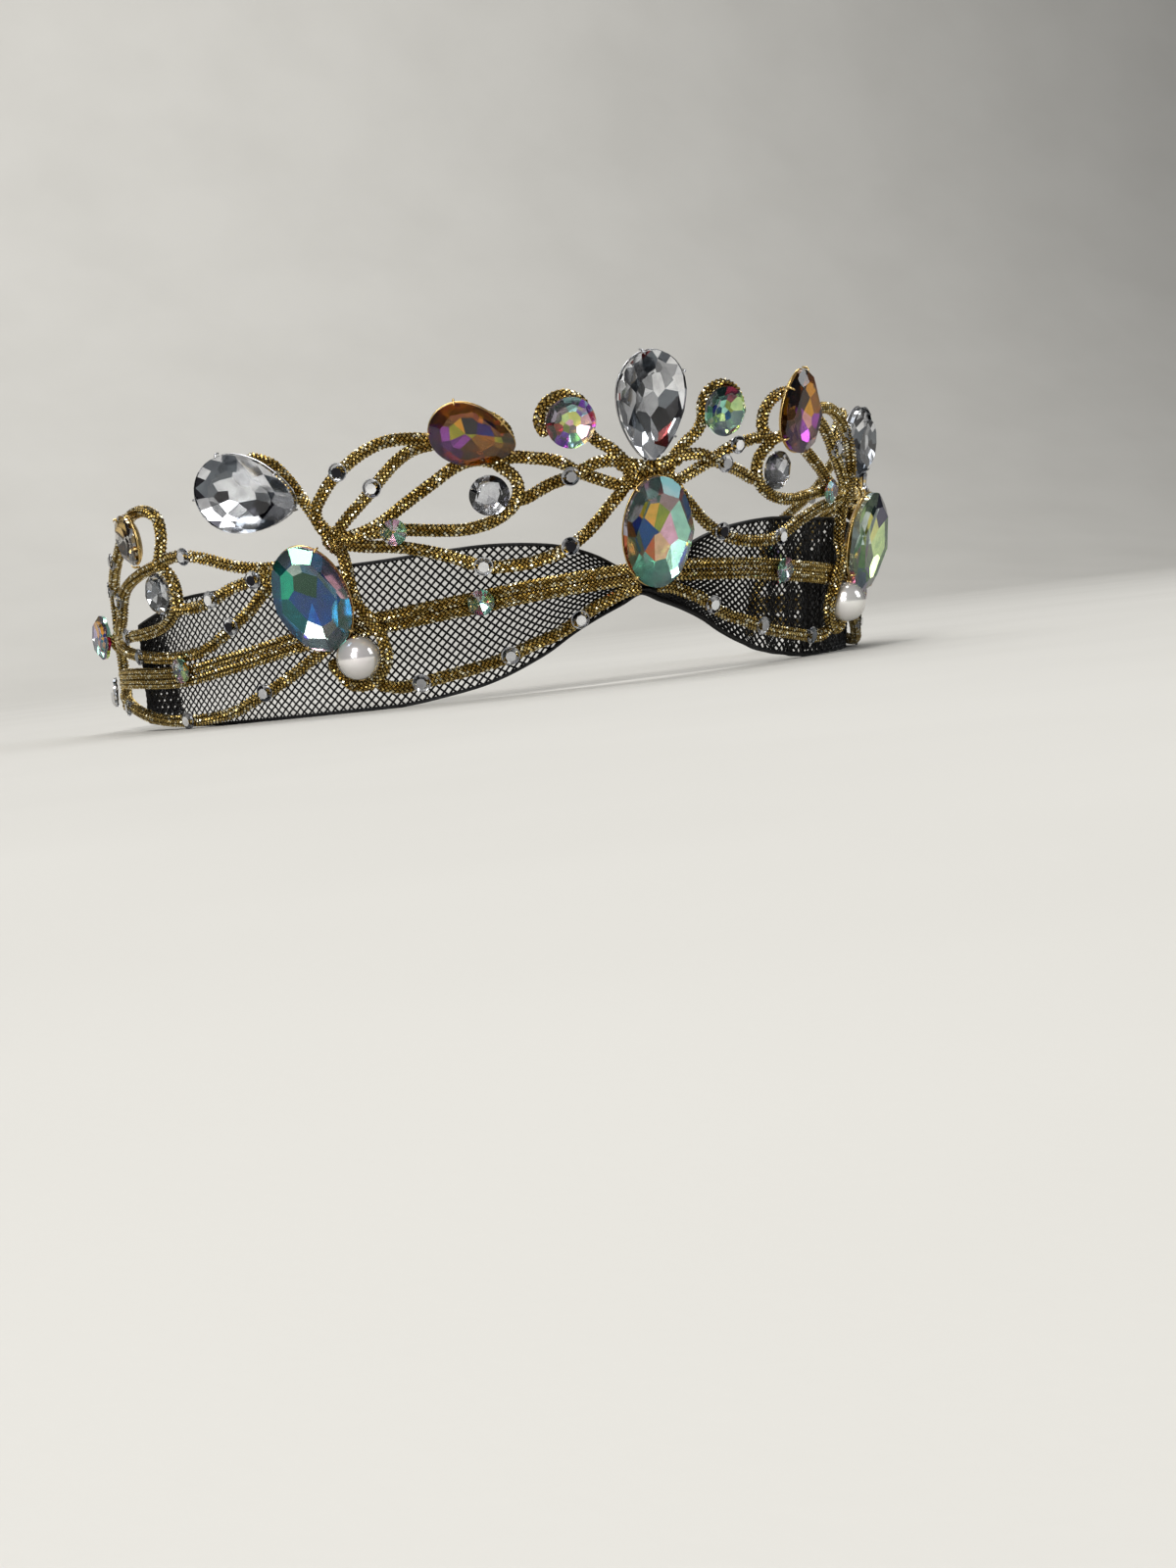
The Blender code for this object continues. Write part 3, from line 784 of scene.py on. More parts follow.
MINT = (0.48, 0.92, 0.72)
WHITE_MINT = (0.80, 0.95, 0.88)
EMERALD = (0.02, 0.62, 0.36)
AZURE = (0.02, 0.16, 0.55)
LILAC_GREY = (0.55, 0.52, 0.62)
RUST = (0.55, 0.07, 0.01)
LEMON = (0.90, 0.85, 0.25)
LIME = (0.72, 0.90, 0.35)
LAVENDER = (0.62, 0.55, 0.88)
PINK = (0.92, 0.50, 0.68)
NAVY = (0.006, 0.015, 0.24)
TEAL = (0.01, 0.38, 0.55)
ORANGE = (0.95, 0.42, 0.05)
SALMON = (0.92, 0.50, 0.32)
OLIVE = (0.35, 0.36, 0.02)
CRIMSON = (0.45, 0.02, 0.10)
SILVER = (0.85, 0.87, 0.90)
FROST = (0.97, 0.98, 1.0)
WINE = (0.24, 0.04, 0.05)
ROSE_GREY = (0.62, 0.36, 0.44)
PEWTER = (0.45, 0.46, 0.48)
SLATE = (0.16, 0.18, 0.20)
INK = (0.02, 0.02, 0.025)
VIOLET = (0.30, 0.07, 0.62)
HONEY = (0.74, 0.36, 0.02)
TOFFEE = (0.30, 0.11, 0.006)
UMBER = (0.045, 0.014, 0.002)
CHAMPAGNE = (0.88, 0.66, 0.38)

CORD = BraidFinish()
GOLD_CLAW = ClawFinish("gold_claw", (0.82, 0.60, 0.25, 1), (0.55, 0.36, 0.12, 1))
SILVER_CLAW = ClawFinish("silver_claw", (0.56, 0.57, 0.59, 1), (0.32, 0.32, 0.34, 1))
# Foil tones: the pale, grey and black ones are painted reflections of light and dark surroundings;
# the colours of the aurora and amber stones are their coating or glass, with painted reflections
# among them
AURORA = GlassFinish(
    "ab_glass", (0.93, 0.97, 0.96, 1),
    (MINT, LAVENDER, PINK, MINT, SILVER, CRIMSON, LIME, PEWTER, MINT, ORANGE),
    heart_tones_and_painted_reflections=(NAVY, ORANGE, TEAL, SALMON, NAVY, OLIVE, PINK), film=385)
CLEAR = GlassFinish(
    "clear_glass", (0.97, 0.98, 0.99, 1),
    (FROST, SILVER, PEWTER, FROST, SLATE, SLATE, INK, PEWTER, PEWTER, SLATE, FROST, INK),
    heart_tones_and_painted_reflections=(FROST, SLATE, SILVER, SILVER, PEWTER, INK, SILVER), scatter=True)
SPARK = GlassFinish(
    "clear_glass_small", (0.96, 0.98, 1.0, 1),
    (FROST, INK, SLATE, SLATE, SILVER, INK, PEWTER, PEWTER),
    heart_tones_and_painted_reflections=(FROST, SLATE, PEWTER, INK, SILVER), scatter=True)
SMOKY = GlassFinish(
    "smoky_glass", (0.88, 0.88, 0.90, 1), (INK, FROST, SLATE, INK, FROST, SLATE, FROST),
    heart_tones_and_painted_reflections=(PEWTER, SILVER, LILAC_GREY, SILVER), scatter=True)
AMBER = GlassFinish(
    "amber_glass", (0.98, 0.84, 0.62, 1),
    (TOFFEE, VIOLET, HONEY, TOFFEE, UMBER, VIOLET, TOFFEE, HONEY, UMBER),
    heart_tones_and_painted_reflections=(TOFFEE, UMBER, HONEY, INK, TOFFEE, UMBER))
CHAMPAGNE_GLASS = GlassFinish(
    "champagne_glass", (0.97, 0.92, 0.84, 1),
    (CHAMPAGNE, SILVER, PEWTER, SILVER, UMBER, TOFFEE, SILVER), scatter=True)
PEARL_COAT = PearlFinish()
HORSEHAIR = HorsehairFinish()


def settle_selection() -> None:
    """Leave edit mode and deselect everything."""
    if bpy.context.object and bpy.context.object.mode != "OBJECT":
        bpy.ops.object.mode_set(mode="OBJECT")
    bpy.ops.object.select_all(action="DESELECT")


def take_up(thing: bpy.types.Object) -> None:
    """Make one object the selected and active one."""
    settle_selection()
    thing.select_set(True)
    bpy.context.view_layer.objects.active = thing


def apply_modifier(thing: bpy.types.Object, kind: str, **values: object) -> None:
    """Add a modifier to a piece and apply it.

    Args:
        thing: the piece.
        kind: the modifier's type.
        values: its settings.
    """
    take_up(thing)
    modifier = thing.modifiers.new(kind.lower(), kind)
    for name, value in values.items():
        setattr(modifier, name, value)
    bpy.ops.object.modifier_apply(modifier=modifier.name)


def mesh_piece(
    name: str, verts: np.ndarray, faces: list, material: bpy.types.Material
) -> bpy.types.Object:
    """Make a piece from points and faces.

    Args:
        name: the piece's name.
        verts: its points, in metres.
        faces: its faces as lists of point numbers.
        material: its finish.

    Returns:
        The new piece, at the origin.
    """
    mesh = bpy.data.meshes.new(name)
    mesh.from_pydata([tuple(vert) for vert in verts], [], faces)
    mesh.materials.append(material)
    piece = bpy.data.objects.new(name, mesh)
    bpy.context.scene.collection.objects.link(piece)
    return piece


def copy_of(source: bpy.types.Object, name: str, place: Matrix) -> bpy.types.Object:
    """Copy a modelled piece with its own mesh, and set the copy in place.

    Args:
        source: the piece that was modelled once.
        name: the copy's name.
        place: where it goes, put into its mesh.

    Returns:
        The copy, with its object at the origin.
    """
    twin = bpy.data.objects.new(name, source.data.copy())
    bpy.context.scene.collection.objects.link(twin)
    twin.data.transform(place)
    if place.determinant() < 0:
        twin.data.flip_normals()
    return twin


def sew_together(name: str, pieces: list[bpy.types.Object]) -> bpy.types.Object:
    """Join pieces into one.

    Args:
        name: the name of the joined piece.
        pieces: the pieces; the first one keeps its object.

    Returns:
        The joined piece.
    """
    settle_selection()
    for piece in pieces:
        piece.select_set(True)
    bpy.context.view_layer.objects.active = pieces[0]
    if len(pieces) > 1:
        bpy.ops.object.join()
    joined = bpy.context.view_layer.objects.active
    joined.name = name
    joined.data.name = name
    return joined


def discard(thing: bpy.types.Object) -> None:
    """Remove a pattern piece once its copies are made."""
    bpy.data.objects.remove(thing, do_unlink=True)


def enter(piece: bpy.types.Object, slot: str, *nodes: str) -> None:
    """Enter a finished piece in the frame.

    Args:
        piece: the piece.
        slot: the name of a material slot; not used.
        nodes: the CAD nodes that it stands for.
    """
    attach(piece, "root")
    if nodes:
        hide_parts(*nodes)
    log.info("%s: %d faces", piece.name, len(piece.data.polygons))


@dataclass
class BraidedCord:
    """A braided cord over wire, in metres: a tube whose plait stands out as small diamonds.

    Its ends narrow over a few rings by the shares in end_taper, down to a low tip.
    """

    radius: float = 0.00119
    relief: float = 0.00025
    pitch: float = 0.00084
    sides: int = 14
    unevenness: float = 0.00004
    end_taper: tuple = (0.62, 0.9, 1.0)
    tip: float = 0.0001
    turn_points: int = 36
    winding_flatness: float = 0.8

    def mesh_of(self, name: str, points: list[Vector]) -> bpy.types.Object:
        """Wrap the plait round a line.

        Args:
            name: the piece's name; it also seeds the unevenness.
            points: the line, spaced half a pitch apart.

        Returns:
            The cord as a closed mesh with its own chart of the plait.
        """
        chance = np.random.default_rng(sum(ord(letter) * 7 for letter in name))
        line = np.array([tuple(point) for point in points])
        tangent = np.gradient(line, axis=0)
        tangent /= np.linalg.norm(tangent, axis=1)[:, None]
        across = np.cross(tangent[0], (0.3, 0.2, 1.0))
        rings = []
        for index, (point, ahead) in enumerate(zip(line, tangent)):
            across = across - ahead * across.dot(ahead)
            across /= np.linalg.norm(across)
            upward = np.cross(ahead, across)
            turn = np.arange(self.sides) * 2 * math.pi / self.sides
            standing = np.where((np.arange(self.sides) + index) % 2 == 0, 1.0, -1.0)
            jitter = chance.uniform(-1, 1, self.sides) * self.unevenness
            reach = self.radius - self.relief * 0.4 + standing * self.relief / 2 + jitter
            from_end = min(index, len(line) - 1 - index)
            reach = reach * self.end_taper[min(from_end, len(self.end_taper) - 1)]
            rings.append(
                point + np.outer(np.cos(turn) * reach, across)
                + np.outer(np.sin(turn) * reach, upward))
        verts = np.concatenate([
            *rings, line[:1] - tangent[:1] * self.tip, line[-1:] + tangent[-1:] * self.tip])
        faces, charts = self.lattice(len(line))
        cord = mesh_piece(name, verts, faces, CORD.material())
        chart = cord.data.uv_layers.new(name="plait")
        chart.data.foreach_set("uv", np.array(charts, dtype=np.float32).ravel())
        return cord

    def lattice(self, rings: int) -> tuple[list, list]:
        """Lay the faces between rings so that each diamond of the plait is a low pyramid.

        Args:
            rings: how many rings the cord has.

        Returns:
            The faces, and a chart place for each of their corners.
        """
        faces = []
        charts = []
        count = self.sides
        for ring in range(rings - 1):
            for side in range(count):
                corners = (
                    (ring, side), (ring, side + 1), (ring + 1, side + 1), (ring + 1, side))
                split = ((0, 1, 3), (1, 2, 3)) if (side + ring) % 2 == 0 else ((0, 1, 2), (0, 2, 3))
                for triangle in split:
                    chosen = [corners[corner] for corner in triangle]
                    faces.append([row * count + column % count for row, column in chosen])
                    charts += [(column / 2, row / 2) for row, column in chosen]
        for row, tip, flip in ((0, rings * count, True), (rings - 1, rings * count + 1, False)):
            for side in range(count):
                pair = [row * count + side, row * count + (side + 1) % count]
                faces.append([pair[1], pair[0], tip] if flip else [pair[0], pair[1], tip])
                charts += [(side / 2, row / 2)] * 3
        return faces, charts

    def winding(self, name: str, place: Matrix, length: float, girth: float) -> bpy.types.Object:
        """Wind the cord in a few tight turns, where other cords are tied together.

        Args:
            name: the piece's name.
            place: the frame of the winding; its X is the winding's axis.
            length: along the axis, in metres.
            girth: the radius of the turns, in metres.

        Returns:
            The winding.
        """
        turns = max(2, round(length / (self.radius * 1.25)))
        points = []
        for index in range(turns * self.turn_points + 1):
            share = index / (turns * self.turn_points)
            angle = 2 * math.pi * turns * share
            swell = girth * (0.86 + 0.14 * math.sin(math.pi * share))
            points.append(place @ Vector((
                (share - 0.5) * length, math.cos(angle) * swell,
                math.sin(angle) * swell * self.winding_flatness)))
        return self.mesh_of(name, even_steps(points, self.pitch / 2))


@dataclass
class CordWork:
    """All braided cords of the tiara, in metres."""

    cord: BraidedCord = field(default_factory=BraidedCord)
    rail_cord: BraidedCord = field(default_factory=lambda: BraidedCord(radius=0.00108))
    binding: BraidedCord = field(
        default_factory=lambda: BraidedCord(radius=0.0007, pitch=0.0006, sides=12))
    rail_spacing: float = 0.0020
    tie_girth: float = 0.00165

    def rail(self, name: str, lift: float) -> None:
        """Build one of the two cords that run round the whole arc.

        Args:
            name: the CAD node that it stands for.
            lift: how far it lies above the middle of the pair, in metres.
        """
        stops = tuple(stop._replace(height=stop.height + lift / MM) for stop in RAIL)
        around = [stop._replace(angle=-stop.angle) for stop in reversed(stops[1:])]
        points = WALL.line((*around, *stops), 1, self.rail_cord.pitch / 2)
        piece = self.rail_cord.mesh_of(f"{name}_braid", points)
        enter(piece, "gold_cord", name)

    def spray(self, group: str, half: str) -> list[Matrix]:
        """Build the cords of one CAD node.

        Args:
            group: the CAD node's name without its half.
            half: left or right.

        Returns:
            The frames of the small crystals that sit on these cords.
        """
        side = HALVES[half]
        node = f"{group}_{half}"
        parts = []
        seats = []
        for index, route in enumerate(ROUTES[group]):
            points = WALL.line(route.stops, side, self.cord.pitch / 2)
            parts.append(self.cord.mesh_of(f"{node}_{index}", points))
            seats += [
                self.crystal_seat(route, seat, side) for seat in route.crystals
                if half in seat.halves]
        for index, (stop, turn, length) in enumerate(WINDINGS.get(group, ())):
            place = WALL.frame(stop, side, turn)
            parts.append(self.binding.winding(
                f"{node}_winding_{index}", place, length * MM, self.tie_girth))
        enter(sew_together(f"{node}_braid", parts), "gold_cord", node)
        return seats

    def crystal_seat(self, route: Route, seat: CrystalSeat, side: int) -> Matrix:
        """Find the frame of a small crystal on the outer face of its cord.

        Args:
            route: the cord.
            seat: where along it the crystal sits.
            side: 1 for the right half and -1 for the left.

        Returns:
            The crystal's frame.
        """
        knots = [Vector(stop) for stop in route.stops]
        runs = [0.0]
        for start, finish in zip(route.stops, route.stops[1:]):
            runs.append(runs[-1] + (WALL.point(finish) - WALL.point(start)).length)
        mark = seat.along * runs[-1]
        place = Stop(*[
            float(np.interp(mark, runs, [knot[axis] for knot in knots])) for axis in range(3)])
        lifted = place._replace(out=place.out + self.cord.radius / MM * 0.75)
        return WALL.frame(lifted, side)

    def centre(self) -> None:
        """Build the cords wound together above the middle oval."""
        place = WALL.frame(Stop(0, 36.8), 1, 0)
        first = self.cord.winding("centre_winding", place, 0.0046, 0.0011)
        rows = []
        for name, low, high in (("centre_over", 38.0, 34.8), ("centre_under", 34.8, 38.0)):
            stops = (
                Stop(-4.6, low, 0.0), Stop(-2.4, low, 0.3), Stop(0, 36.4, 0.4),
                Stop(2.4, high, 0.3), Stop(4.6, high, 0.0))
            rows.append(self.cord.mesh_of(name, WALL.line(stops, 1, self.cord.pitch / 2)))
        enter(sew_together("centre_knot_braid", [first, *rows]), "gold_cord", "centre_knot")

    def build(self) -> list[Matrix]:
        """Build every cord.

        Returns:
            The frames of all small crystals.
        """
        self.rail("rail_upper", self.rail_spacing / 2)
        self.rail("rail_lower", -self.rail_spacing / 2)
        self.centre()
        seats = []
        for half in HALVES:
            for group in ROUTES:
                seats += self.spray(group, half)
        return seats


@dataclass(frozen=True)
class FacetRow:
    """A ring of facets, each a flat cut through two places.

    A place is a share of the outline's reach and a height in shares of the half width.
    """

    count: int
    phase: float
    outer: tuple
    inner: tuple


CROWN_FULL = (
    FacetRow(24, 0.5, (1.0, 0.05), (0.86, 0.18)),
    FacetRow(12, 0.0, (1.0, 0.06), (0.62, 0.31)),
    FacetRow(12, 0.5, (0.84, 0.245), (0.62, 0.31)),
)
CROWN_BOLD = (
    FacetRow(8, 0.5, (1.0, 0.06), (0.70, 0.31)),
)
CROWN_PLAIN = (FacetRow(8, 0.0, (1.0, 0.05), (0.58, 0.31)),)
BASE_FULL = (
    FacetRow(20, 0.5, (1.0, -0.04), (0.80, -0.15)),
    FacetRow(14, 0.0, (0.93, -0.085), (0.55, -0.24)),
    FacetRow(10, 0.5, (0.68, -0.20), (0.30, -0.31)),
    FacetRow(5, 0.25, (0.42, -0.29), (0.04, -0.345)),
)
BASE_BOLD = (
    FacetRow(8, 0.25, (1.0, -0.04), (0.52, -0.255)),
    FacetRow(6, 0.5, (0.50, -0.262), (0.04, -0.34)),
)
BASE_ROSE = (
    FacetRow(9, 0.5, (1.0, -0.04), (0.40, -0.28)),
    FacetRow(6, 0.1, (0.44, -0.27), (0.04, -0.345)),
)
BASE_PLAIN = (FacetRow(8, 0.5, (1.0, -0.04), (0.10, -0.34)),)
BASE_DROP = (
    FacetRow(12, 0.5, (1.0, -0.04), (0.55, -0.24)),
    FacetRow(8, 0.25, (0.60, -0.23), (0.04, -0.345)),
)
BASE_RING = (
    FacetRow(14, 0.5, (1.0, -0.04), (0.80, -0.15)),
    FacetRow(9, 0.0, (0.90, -0.10), (0.52, -0.26)),
    FacetRow(5, 0.25, (0.52, -0.26), (0.04, -0.33)),
)


# A drop is wider than an oval toward +X, its round end, and narrows toward its tip
DROP_BULGE = 1.12
DROP_TAPER = 0.48
DROP_CURVE = 1.6

# Shares of a stone's half width
BLANK_DEPTH = 0.64
BLANK_DROP = 0.012

MERGE_DISTANCE = 0.000004
FLAT_ANGLE = 0.004

# Facets that face up by less than this are foiled. Those centred within this share of the
# outline are the heart
FOIL_SLOPE = 0.03
HEART_REACH = 0.6

# Where a cup's flat floor ends and its wall starts to rise, and the run of that rise, as shares
# of its outline
CUP_FLOOR = 0.70
CUP_RISE = 0.31

# Heights of a cup in shares of the stone's half width, and its own depth and wall in metres
CUP_BRIM = -0.13
CUP_BASE = -0.24
CUP_GAP = 0.0003
CUP_SINK = 0.0006
CUP_WALL = 0.00022

# How far outside the outline a claw stands in metres, and its size against the pattern
CLAW_OFFSET = 0.00045
CLAW_SCALE = (0.5, 0.5, 0.62)


@dataclass
class CutStone:
    """A cut stone with a foiled back, its sizes in millimetres."""

    name: str
    place: Stop
    length: float
    width: float
    turn: float
    shape: Shape
    finish: GlassFinish
    crown: tuple = CROWN_FULL
    base: tuple = BASE_FULL
    setting: Metal | None = None
    claws: tuple = ()
    yaw: float = 0.0

    def outline(self, share: Vector, grow: float = 0.0) -> Vector:
        """Stretch a point of a unit round into this stone's outline.

        Args:
            share: the point in the unit round.
            grow: how much larger the outline is made, in metres.

        Returns:
            The point in metres.
        """
        x = share.x * (self.length * MM / 2 + grow)
        y = share.y * (self.width * MM / 2 + grow)
        if self.shape is Shape.DROP:
            y *= DROP_BULGE - DROP_TAPER * max(0.0, (1 - share.x) / 2) ** DROP_CURVE
        return Vector((x, y, share.z))

    def blank(self, sides: int = 48) -> bpy.types.Object:
        """Model the uncut stone: a disc with the outline of the finished one."""
        settle_selection()
        half = self.width * MM / 2
        bpy.ops.mesh.primitive_cylinder_add(
            vertices=sides, radius=1, depth=half * BLANK_DEPTH, location=(0, 0, 0))
        blank = bpy.context.object
        for vertex in blank.data.vertices:
            vertex.co = self.outline(
                Vector((vertex.co.x, vertex.co.y, vertex.co.z - half * BLANK_DROP)))
        return blank

    def cut_row(self, stone: bpy.types.Object, row: FacetRow) -> None:
        """Cut one ring of facets.

        Args:
            stone: the stone, in edit mode; not used.
            row: the ring of facets.
        """
        half = self.width * MM / 2
        rim = [
            self.outline(Vector((math.cos(turn / 90 * math.pi), math.sin(turn / 90 * math.pi), 0)))
            for turn in range(180)]
        for index in range(row.count):
            turn = 2 * math.pi * (index + row.phase) / row.count
            way = Vector((math.cos(turn), math.sin(turn), 0))
            reach = max(point.dot(way) for point in rim)
            fall = (row.inner[1] - row.outer[1]) * half
            run = (row.outer[0] - row.inner[0]) * reach
            lean = 1 if fall > 0 else -1
            normal = (way * abs(fall) + Vector((0, 0, run * lean))).normalized()
            bpy.ops.mesh.select_all(action="SELECT")
            bpy.ops.mesh.bisect(
                plane_co=way * row.outer[0] * reach + Vector((0, 0, row.outer[1] * half)),
                plane_no=normal, use_fill=True, clear_outer=True)

    def cut(self) -> bpy.types.Object:
        """Cut every facet.

        Returns:
            The stone at the origin, with glass above its girdle and foil below.
        """
        stone = self.blank()
        take_up(stone)
        bpy.ops.object.mode_set(mode="EDIT")
        for row in (*self.crown, *self.base):
            self.cut_row(stone, row)
        bpy.ops.mesh.select_all(action="SELECT")
        bpy.ops.mesh.remove_doubles(threshold=MERGE_DISTANCE)
        bpy.ops.mesh.dissolve_limited(angle_limit=FLAT_ANGLE)
        bpy.ops.mesh.normals_make_consistent(inside=False)
        bpy.ops.object.mode_set(mode="OBJECT")
        return stone

    def dress(self, stone: bpy.types.Object, seed: int, tones_set: tuple = ()) -> None:
        """Give the stone its glass, and each facet of its foil a tone with a painted reflection.

        Args:
            stone: the cut stone.
            seed: the order of the tones where none is given.
            tones_set: the tones, with their painted reflections, of the outer and of the inner
                facets, in turn round the stone.
        """
        mesh = stone.data
        mesh.materials.clear()
        mesh.materials.append(self.finish.crown())
        mesh.materials.append(self.finish.foil())
        tones = mesh.color_attributes.new(name="facet", type="FLOAT_COLOR", domain="CORNER")
        chance = random.Random(seed)
        foils = list(self.finish.foils)
        heart_tones_and_painted_reflections = list(self.finish.heart_tones_and_painted_reflections or self.finish.foils)
        chance.shuffle(foils)
        chance.shuffle(heart_tones_and_painted_reflections)
        if tones_set:
            foils, heart_tones_and_painted_reflections = tones_set
        # Painted reflections: each foil facet takes a tone by its sector round the stone, or at
        # random
        for face in mesh.polygons:
            behind = face.normal.z < FOIL_SLOPE
            face.material_index = 1 if behind else 0
            spot = Vector((face.center.x / self.length, face.center.y / self.width)) * 2 / MM
            turn = math.atan2(spot.y, spot.x) / (2 * math.pi)
            row = heart_tones_and_painted_reflections if spot.length < HEART_REACH else foils
            sector = int((turn + 0.5) * len(row))
            tone = chance.choice(row) if self.finish.scatter else row[sector % len(row)]
            for corner in face.loop_indices:
                tones.data[corner].color = (*tone, 1)

    def set_claws(self, pattern: bpy.types.Object) -> bpy.types.Object:
        """Model the cup behind the stone, with its claws bent over the edge.

        Args:
            pattern: one claw, modelled upright.

        Returns:
            The setting at the origin.
        """
        finish = GOLD_CLAW if self.setting is Metal.GOLD else SILVER_CLAW
        half = self.width * MM / 2
        brim = CUP_BRIM * half
        bottom = CUP_BASE * half - CUP_GAP - CUP_SINK
        settle_selection()
        bpy.ops.mesh.primitive_circle_add(vertices=40, radius=CUP_FLOOR, fill_type="NGON")
        cup = bpy.context.object
        for vertex in cup.data.vertices:
            vertex.co.z = bottom
        take_up(cup)
        bpy.ops.object.mode_set(mode="EDIT")
        bpy.ops.mesh.select_all(action="SELECT")
        for scale in (1.24, 1.10, 1.06):
            bpy.ops.mesh.extrude_region_move()
            bpy.ops.transform.resize(value=(scale, scale, 1), center_override=(0, 0, 0))
        bpy.ops.object.mode_set(mode="OBJECT")
        work = bmesh.new()
        work.from_mesh(cup.data)
        for face in [face for face in work.faces if len(face.verts) > 4][1:]:
            work.faces.remove(face)
        for vertex in work.verts:
            reach = Vector((vertex.co.x, vertex.co.y, 0)).length
            rise = min(1.0, max(0.0, (reach - CUP_FLOOR) / CUP_RISE))
            share = Vector((vertex.co.x, vertex.co.y, 0)) * (min(reach, 1.0) / reach)
            place = self.outline(share, 0.00004 * rise)
            vertex.co = (place.x, place.y, bottom + (brim - bottom) * rise**1.5)
        bmesh.ops.remove_doubles(work, verts=work.verts, dist=0.00002)
        bmesh.ops.recalc_face_normals(work, faces=work.faces)
        work.to_mesh(cup.data)
        work.free()
        cup.data.materials.append(finish.material())
        apply_modifier(cup, "SOLIDIFY", thickness=CUP_WALL, offset=0.0)
        parts = [cup]
        for degrees in self.claws:
            around = Vector((math.cos(math.radians(degrees)), math.sin(math.radians(degrees)), 0))
            foot = self.outline(around, CLAW_OFFSET)
            inward = -Vector((foot.x / self.length**2, foot.y / self.width**2, 0)).normalized()
            side = Vector((0, 0, 1)).cross(inward)
            seat = Matrix((inward, side, Vector((0, 0, 1)))).transposed().to_4x4()
            seat.translation = Vector((foot.x, foot.y, 0.02 * half))
            claw = copy_of(pattern, "claw", seat @ Matrix.Diagonal((*CLAW_SCALE, 1)))
            claw.data.materials.append(finish.material())
            parts.append(claw)
        setting = sew_together(f"{self.name}_setting", parts)
        setting.data.shade_smooth()
        return setting


def claw_pattern() -> bpy.types.Object:
    """Model one claw: a flat prong that rises, tapers and bends over toward +X.

    Returns:
        The claw, with its foot below the girdle.
    """
    settle_selection()
    bpy.ops.mesh.primitive_circle_add(
        vertices=8, radius=0.00042, fill_type="NGON", location=(0, 0, 0))
    claw = bpy.context.object
    take_up(claw)
    bpy.ops.object.mode_set(mode="EDIT")
    bpy.ops.mesh.select_all(action="SELECT")
    bpy.ops.transform.translate(value=(-0.00005, 0, -0.0016))
    steps = (
        ((0.0, 0, 0.0010), 1.05), ((0.00004, 0, 0.0008), 1.0), ((0.00034, 0, 0.0005), 0.86),
        ((0.00062, 0, 0.00028), 0.82), ((0.00045, 0, 0.00006), 0.6))
    middle = Vector((-0.00005, 0, -0.0016))
    for shift, scale in steps:
        bpy.ops.mesh.extrude_region_move(TRANSFORM_OT_translate={"value": shift})
        middle = middle + Vector(shift)
        bpy.ops.transform.resize(value=(scale, scale, scale), center_override=middle)
    bpy.ops.mesh.select_all(action="SELECT")
    bpy.ops.mesh.normals_make_consistent(inside=False)
    bpy.ops.object.mode_set(mode="OBJECT")
    claw.name = "claw_pattern"
    return claw


FOUR_OVAL = (40, 140, 220, 320)
FOUR_DROP = (15, 165, 235, 305)

SIDE_STONES = (
    CutStone("ab_round", Stop(10.8, 46.0, 1.2), 9.0, 9.0, 0, Shape.ROUND, AURORA,
             CROWN_BOLD, BASE_ROSE),
    CutStone("amber_teardrop", Stop(23.0, 45.2, 3.7), 15.4, 10.8, 21, Shape.DROP, AMBER,
             CROWN_BOLD, BASE_DROP, Metal.GOLD, FOUR_DROP),
    CutStone("smoky_round", Stop(21.1, 35.1, 0.6), 7.2, 7.2, 0, Shape.ROUND, SMOKY,
             CROWN_PLAIN, BASE_RING),
    CutStone("clear_teardrop", Stop(55.1, 40.7, -1.5), 19.8, 14.4, 17, Shape.DROP, CLEAR,
             CROWN_FULL, BASE_FULL, Metal.SILVER, FOUR_DROP, 12),
    CutStone("ab_oval", Stop(43.6, 20.6, 4.3), 19.8, 13.3, 77, Shape.OVAL, AURORA,
             CROWN_BOLD, BASE_BOLD, Metal.GOLD, FOUR_OVAL, 10),
    CutStone("champagne_teardrop", Stop(76.6, 36.0, 3.1), 10.2, 7.2, 66, Shape.DROP,
             CHAMPAGNE_GLASS, CROWN_PLAIN, BASE_PLAIN, Metal.GOLD, FOUR_DROP),
    CutStone("end_clear_round", Stop(71.9, 25.4, 0.8), 7.8, 7.8, 0, Shape.ROUND, CLEAR,
             CROWN_BOLD, BASE_RING),
    CutStone("end_ab_round", Stop(100.8, 19.0, 3.3), 9.0, 9.0, 0, Shape.ROUND, AURORA,
             CROWN_BOLD, BASE_ROSE, None, (), 18),
    CutStone("end_foot_round", Stop(103.4, 7.6, 2.1), 6.2, 6.2, 0, Shape.ROUND, CLEAR,
             CROWN_BOLD, BASE_RING),
    CutStone("upper_chaton", Stop(33.1, 30.6, 1.9), 4.7, 4.7, 0, Shape.ROUND, AURORA,
             CROWN_PLAIN, BASE_PLAIN),
    CutStone("rail_chaton", Stop(22.5, 16.6, 1.9), 4.7, 4.7, 0, Shape.ROUND, AURORA,
             CROWN_PLAIN, BASE_PLAIN),
    CutStone("outer_chaton", Stop(67.4, 10.6, 1.9), 4.7, 4.7, 0, Shape.ROUND, AURORA,
             CROWN_PLAIN, BASE_PLAIN),
)
MIDDLE_STONES = (
    CutStone("centre_teardrop", Stop(0, 47.8, 0.9), 19.4, 13.6, 90, Shape.DROP, CLEAR,
             CROWN_FULL, BASE_FULL, Metal.SILVER, FOUR_DROP),
    CutStone("centre_oval", Stop(0, 25.6, 3.9), 20.2, 13.4, 90, Shape.OVAL, AURORA,
             CROWN_BOLD, BASE_BOLD, Metal.GOLD, FOUR_OVAL),
)


